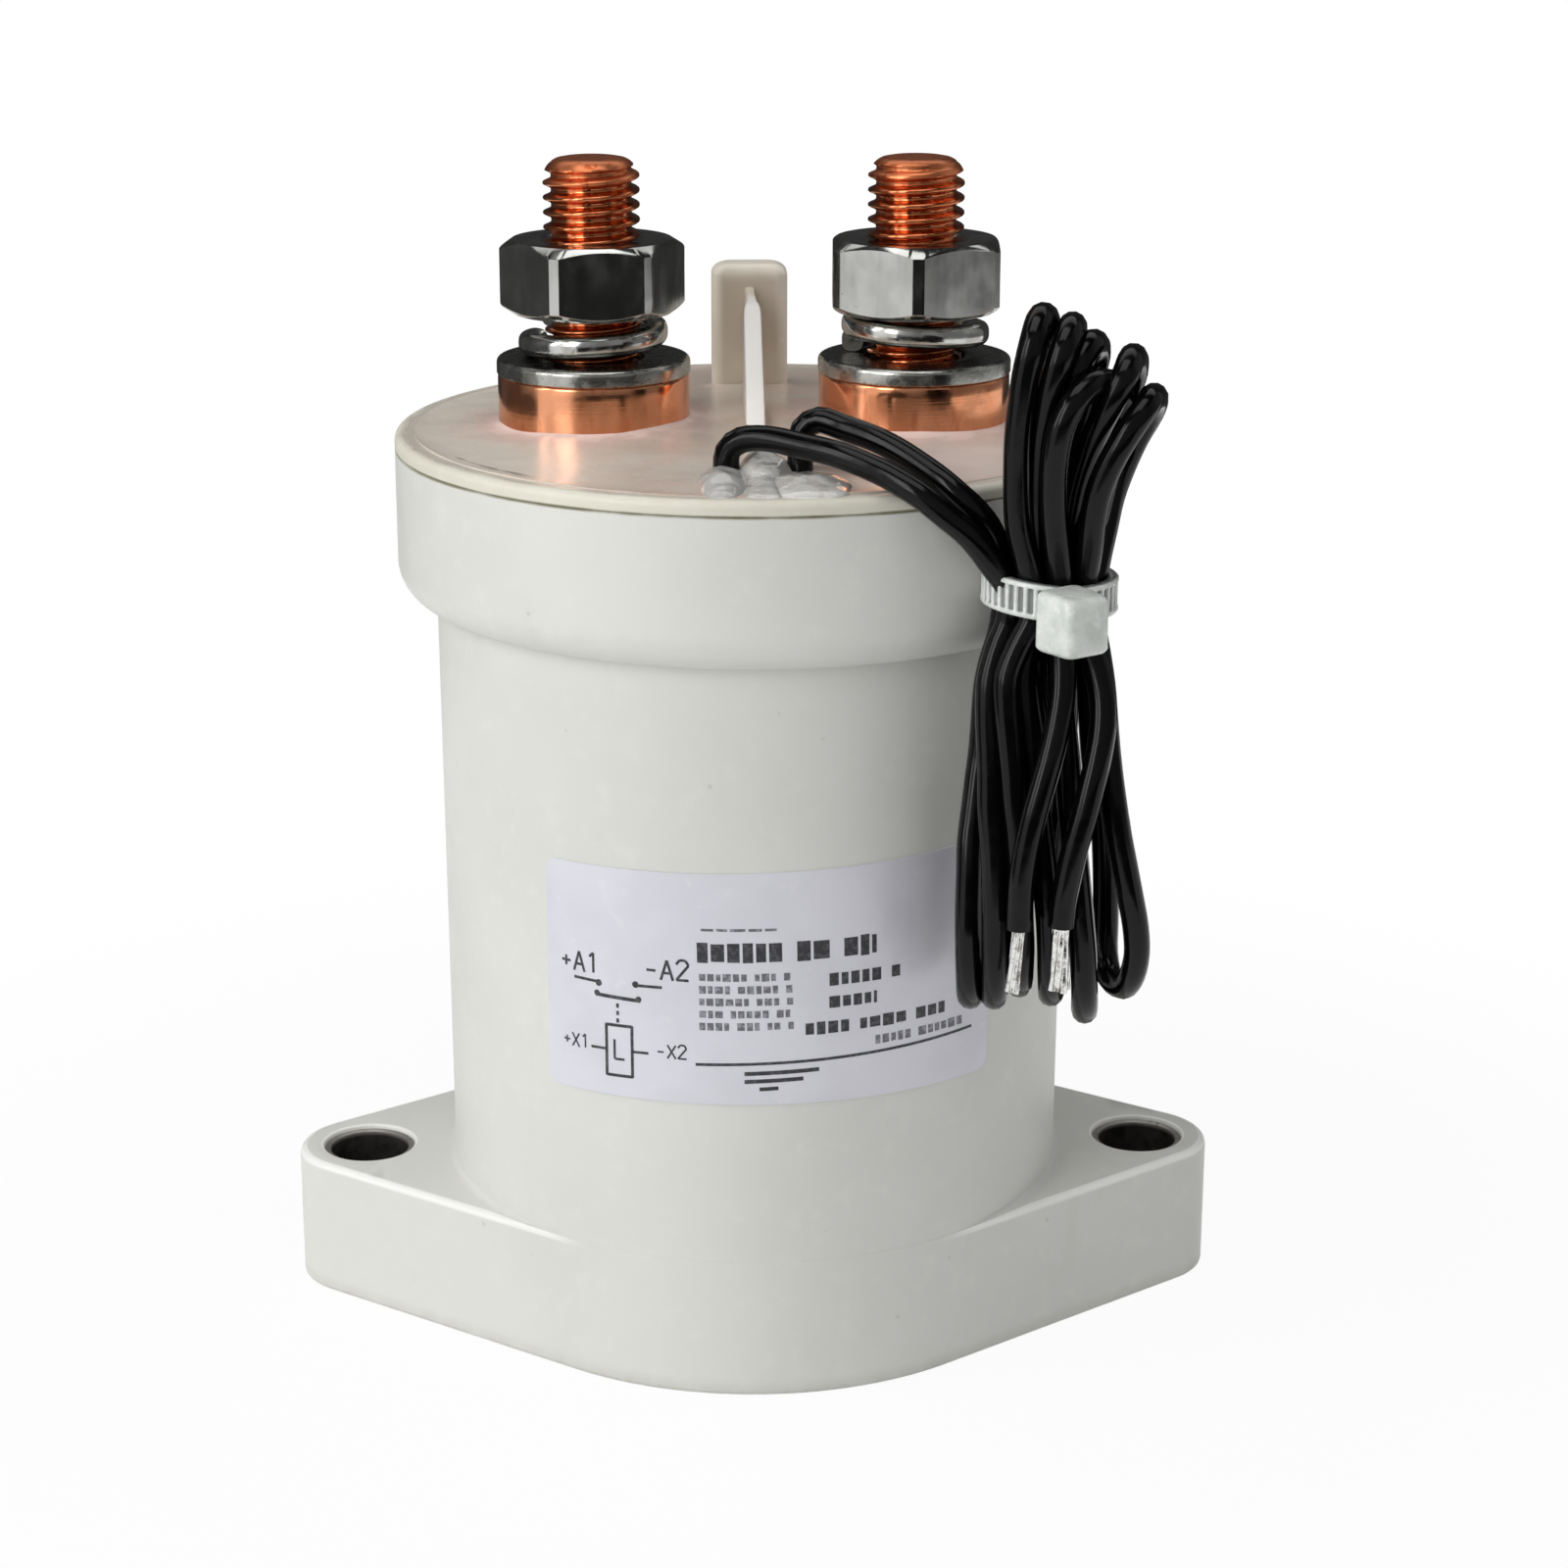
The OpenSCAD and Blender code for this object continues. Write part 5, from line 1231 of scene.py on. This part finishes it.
def make_print():
    # the wiring sign: two fixed contacts, the bridge between them, and the coil that moves it
    strokes = [
        (3.4, 44.25, 6.4, 44.2, 0.3), (10.3, 44.42, 13.2, 44.5, 0.3), (5.9, 42.85, 10.9, 42.8, 0.38),
        (7.1, 39.8, 9.95, 39.9, 0.32), (7.1, 34.4, 9.95, 34.5, 0.32),
        (7.1, 34.3, 7.1, 39.9, 0.32), (9.95, 34.4, 9.95, 40.0, 0.32),
        (5.3, 37.1, 7.1, 37.15, 0.28), (9.95, 37.25, 11.7, 37.3, 0.28),
        (8.0, 38.3, 8.0, 36.2, 0.26), (8.0, 36.2, 9.1, 36.25, 0.26),
    ]
    strokes += [(8.4, z, 8.4, z - 0.45, 0.3) for z in (42.2, 41.4, 40.6)]
    # the long line under the print and the three short ones below it
    strokes += [(16.6, 36.6, 46.7, 37.7, 0.3)]
    strokes += [(21.5, 35.75, 29.0, 36.05, 0.42), (21.5, 34.9, 27.4, 35.15, 0.42), (23.0, 34.1, 24.9, 34.2, 0.4)]
    dark = [bar(*stroke) for stroke in strokes]
    dark += [dot(6.3, 44.1, 0.36), dot(10.4, 44.5, 0.36), dot(6.1, 43.0, 0.32), dot(10.7, 42.95, 0.32)]
    dark += words(16.8, 34.9, 48.5, 2.2, 3, 0.3, 1.5)
    for row, (start, end, z) in enumerate(((30.0, 37.6, 45.5), (30.0, 35.0, 43.1), (27.6, 44.2, 40.4))):
        dark += words(start, end, z, 1.35, 4 + row, 0.3, 1.1)
    dark += terminal_mark("+A1", 1.8, 44.8, 2.1) + terminal_mark("-A2", 11.5, 45.2, 2.1)
    dark += terminal_mark("+X1", 1.9, 36.6, 1.45) + terminal_mark("-X2", 12.6, 36.9, 1.45)
    pale = []
    for row, z in enumerate((45.9, 44.6, 43.3, 42.0, 40.7)):
        pale += words(17.0, 26.4, z, 0.85, 20 + row, 0.2, 0.75)
    pale += words(34.9, 46.0, 38.55, 1.0, 31, 0.24, 0.85)
    pale += words(17.2, 25.0, 50.9, 0.3, 32, 0.3, 1.4)
    for name, marks, paint in (("label_print", dark, "ink"), ("label_small_print", pale, "ink_pale")):
        piece(name, joined(*marks), paint, ["label"], sharp=30, flat=False)


make_label()
make_print()

# ---------------------------------------------------------------- inside


def make_spring(name, node, body, mid_r, wire_r, ends, turns):
    """A compression spring with a closed turn at each end."""
    low, high = ends[0] + wire_r + 0.06, ends[1] - wire_r - 0.06
    dead = 2.1 * wire_r
    pitch = (high - low - 2 * dead) / (turns - 2)
    section = [(wire_r * c, wire_r * s) for c, s in circle(12)]
    rings = []
    for turn in evenly(0, turns, 36 * turns + 1):
        z = low + dead * (min(turn, 1) + max(turn - turns + 1, 0)) + pitch * min(max(turn - 1, 0), turns - 2)
        c, s = cos_sin(360 * turn)
        rings.append([((mid_r + u) * c, (mid_r + u) * s, z + w) for u, w in section])
    obj = piece(name, skin(rings, caps=True), "spring", [node], body=body, sharp=50, flat=False)
    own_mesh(obj)


make_spring("return_spring_wire", "return_spring", "base", 3.4, 0.45, (22.3, 37.2), 7)
make_spring("contact_spring_wire", "contact_spring", "armature", 4.4, 0.6, (62, 71.5), 5)

CARRIED_OVER = {
    "ceramic": ["ceramic_chamber"],
    "tray": ["arc_tray"],
    "magnet": ["magnet_front", "magnet_back"],
    "copper_inside": ["gas_tube", "contact_bridge"],
    "spring": ["weld_ring", "retaining_clip", "armature_shaft", "core_sleeve"],
    "soft_iron": ["magnet_ring", "plunger", "fixed_core", "yoke_plate", "yoke_frame"],
    "bobbin": ["bobbin"],
    "wire": ["coil_winding"],
}
for paint, nodes in CARRIED_OVER.items():
    for node in nodes:
        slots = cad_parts[node].data.materials
        if not slots:
            slots.append(PAINT[paint])
        for k in range(len(slots)):
            slots[k] = PAINT[paint]

# ---------------------------------------------------------------- studio

WHITE = (1, 1, 1, 1)
AMBIENT = 0.23
FLOOR = 3
PALE_R, WHITE_R = 0.07, 0.17  # from the object's shadow out to plain white
CARD_R = 0.27

scene = bpy.context.scene
scene.view_settings.view_transform = "Standard"


def stage_mesh(name, verts, faces, mat):
    mesh = bpy.data.meshes.new(name)
    mesh.from_pydata(verts, [], faces)
    mesh.materials.append(mat)
    obj = bpy.data.objects.new(name, mesh)
    scene.collection.objects.link(obj)
    return obj


def stage_material(name):
    mat = bpy.data.materials.new(name)
    mat.use_nodes = True
    return mat, mat.node_tree, mat.node_tree.nodes["Material Output"].inputs["Surface"]


def largest(tree, *keys):
    """One if a ray is of any of these kinds."""
    path = new_node(tree, "LightPath")
    rays = path.outputs[keys[0]]
    for key in keys[1:]:
        rays = new_node(tree, "Math", {0: rays, 1: path.outputs[key]}, "MAXIMUM").outputs[0]
    return rays


# the world: plain white for the rays that show the background, and dimmer for those that light the object
world = bpy.data.worlds.new("studio_world")
scene.world = world
world.use_nodes = True
tree = world.node_tree
ambient = tree.nodes["Background"]
ambient.inputs["Color"].default_value = WHITE
ambient.inputs["Strength"].default_value = AMBIENT
rays = largest(tree, "Is Camera Ray", "Is Glossy Ray", "Is Transmission Ray")
backdrop = new_node(tree, "Background", {"Color": WHITE, "Strength": 1})
mix = new_node(tree, "MixShader", {0: rays, 1: ambient.outputs[0], 2: backdrop.outputs[0]})
tree.links.new(mix.outputs[0], tree.nodes["World Output"].inputs["Surface"])

# the floor: pale round the object, where it keeps the shadow, and plain white further out
floor_mat, tree, surface = stage_material("studio_floor")
paper = tree.nodes["Principled BSDF"]
paper.inputs["Base Color"].default_value = rgb(246, 246, 246)
paper.inputs["Roughness"].default_value = 0.9
paper.inputs["Specular IOR Level"].default_value = 0.1
coord = new_node(tree, "TexCoord")
length = new_node(tree, "VectorMath", {0: coord.outputs["Object"]}, "LENGTH")
fade = {"Value": length.outputs["Value"], "From Min": PALE_R, "From Max": WHITE_R, "To Min": 0.93}
fade = new_node(tree, "MapRange", fade)
fade.interpolation_type = "SMOOTHSTEP"
glow = new_node(tree, "Emission", {"Color": WHITE})
shown = largest(tree, "Is Camera Ray", "Is Glossy Ray")
gate = new_node(tree, "Math", {0: fade.outputs[0], 1: shown}, "MULTIPLY")
blend = new_node(tree, "MixShader", {0: gate.outputs[0], 1: paper.outputs[0], 2: glow.outputs[0]})
tree.links.new(blend.outputs[0], surface)
corners = [(-FLOOR, -FLOOR, 0), (FLOOR, -FLOOR, 0), (FLOOR, FLOOR, 0), (-FLOOR, FLOOR, 0)]
stage_mesh("studio_floor", corners, [(0, 1, 2, 3)], floor_mat)


def soft_light(name, place, aim_z, size, watts):
    light = bpy.data.lights.new(name, "AREA")
    light.shape = "RECTANGLE"
    light.size, light.size_y = size
    light.energy = watts
    obj = bpy.data.objects.new(name, light)
    scene.collection.objects.link(obj)
    obj.location = place
    obj.rotation_mode = "QUATERNION"
    obj.rotation_quaternion = (Vector((0, 0, aim_z)) - Vector(place)).to_track_quat("-Z", "Y")


soft_light("side_light", (-0.64, -0.171, 0.402), 0.06, (0.34, 0.5), 1.7)
soft_light("key_light", (-0.38, -0.5425, 0.402), 0.06, (0.3, 0.45), 1.85)
soft_light("fill_light", (0.62, 0.109, 0.357), 0.06, (0.2, 0.4), 0.6)
soft_light("top_light", (-0.05, -0.10, 0.7), 0.05, (0.5, 0.4), 1.25)


# Cards round the set give the metal and the black leads their contrast. Only reflections see them.


def card_from(name, verts, faces, shade):
    mat, tree, surface = stage_material(name)
    tone = new_node(tree, "Emission", {"Color": rgb(shade, shade, shade)})
    tree.links.new(tone.outputs[0], surface)
    obj = stage_mesh(name, verts, faces, mat)
    obj.visible_camera = False
    obj.visible_diffuse = False
    obj.visible_shadow = False
    obj.visible_transmission = False


def card(name, start, end, low, high, shade):
    """A curved upright card between two angles in degrees and two heights."""
    spin = [cos_sin(a) for a in evenly(start, end, 13)]
    verts = [(CARD_R * c, CARD_R * s, z) for c, s in spin for z in (low, high)]
    card_from(name, verts, [(2 * i, 2 * i + 2, 2 * i + 3, 2 * i + 1) for i in range(12)], shade)


card("card_front", 242, 314, 0, 0.098, 34)
card("card_front_upper", 242, 314, 0.098, 0.42, 138)
card("card_right", 314, 395, 0.062, 0.34, 120)
card("card_back_right", 395, 408, 0, 0.34, 60)
card("card_back", 48, 128, 0, 0.34, 56)
card("card_back_left", 128, 200, 0, 0.34, 78)
ceiling = [(-0.7, -0.7, 0.8), (0.7, -0.7, 0.8), (0.7, 0.3, 0.8), (-0.7, 0.3, 0.8)]
card_from("card_ceiling", ceiling, [(0, 1, 2, 3)], 34)
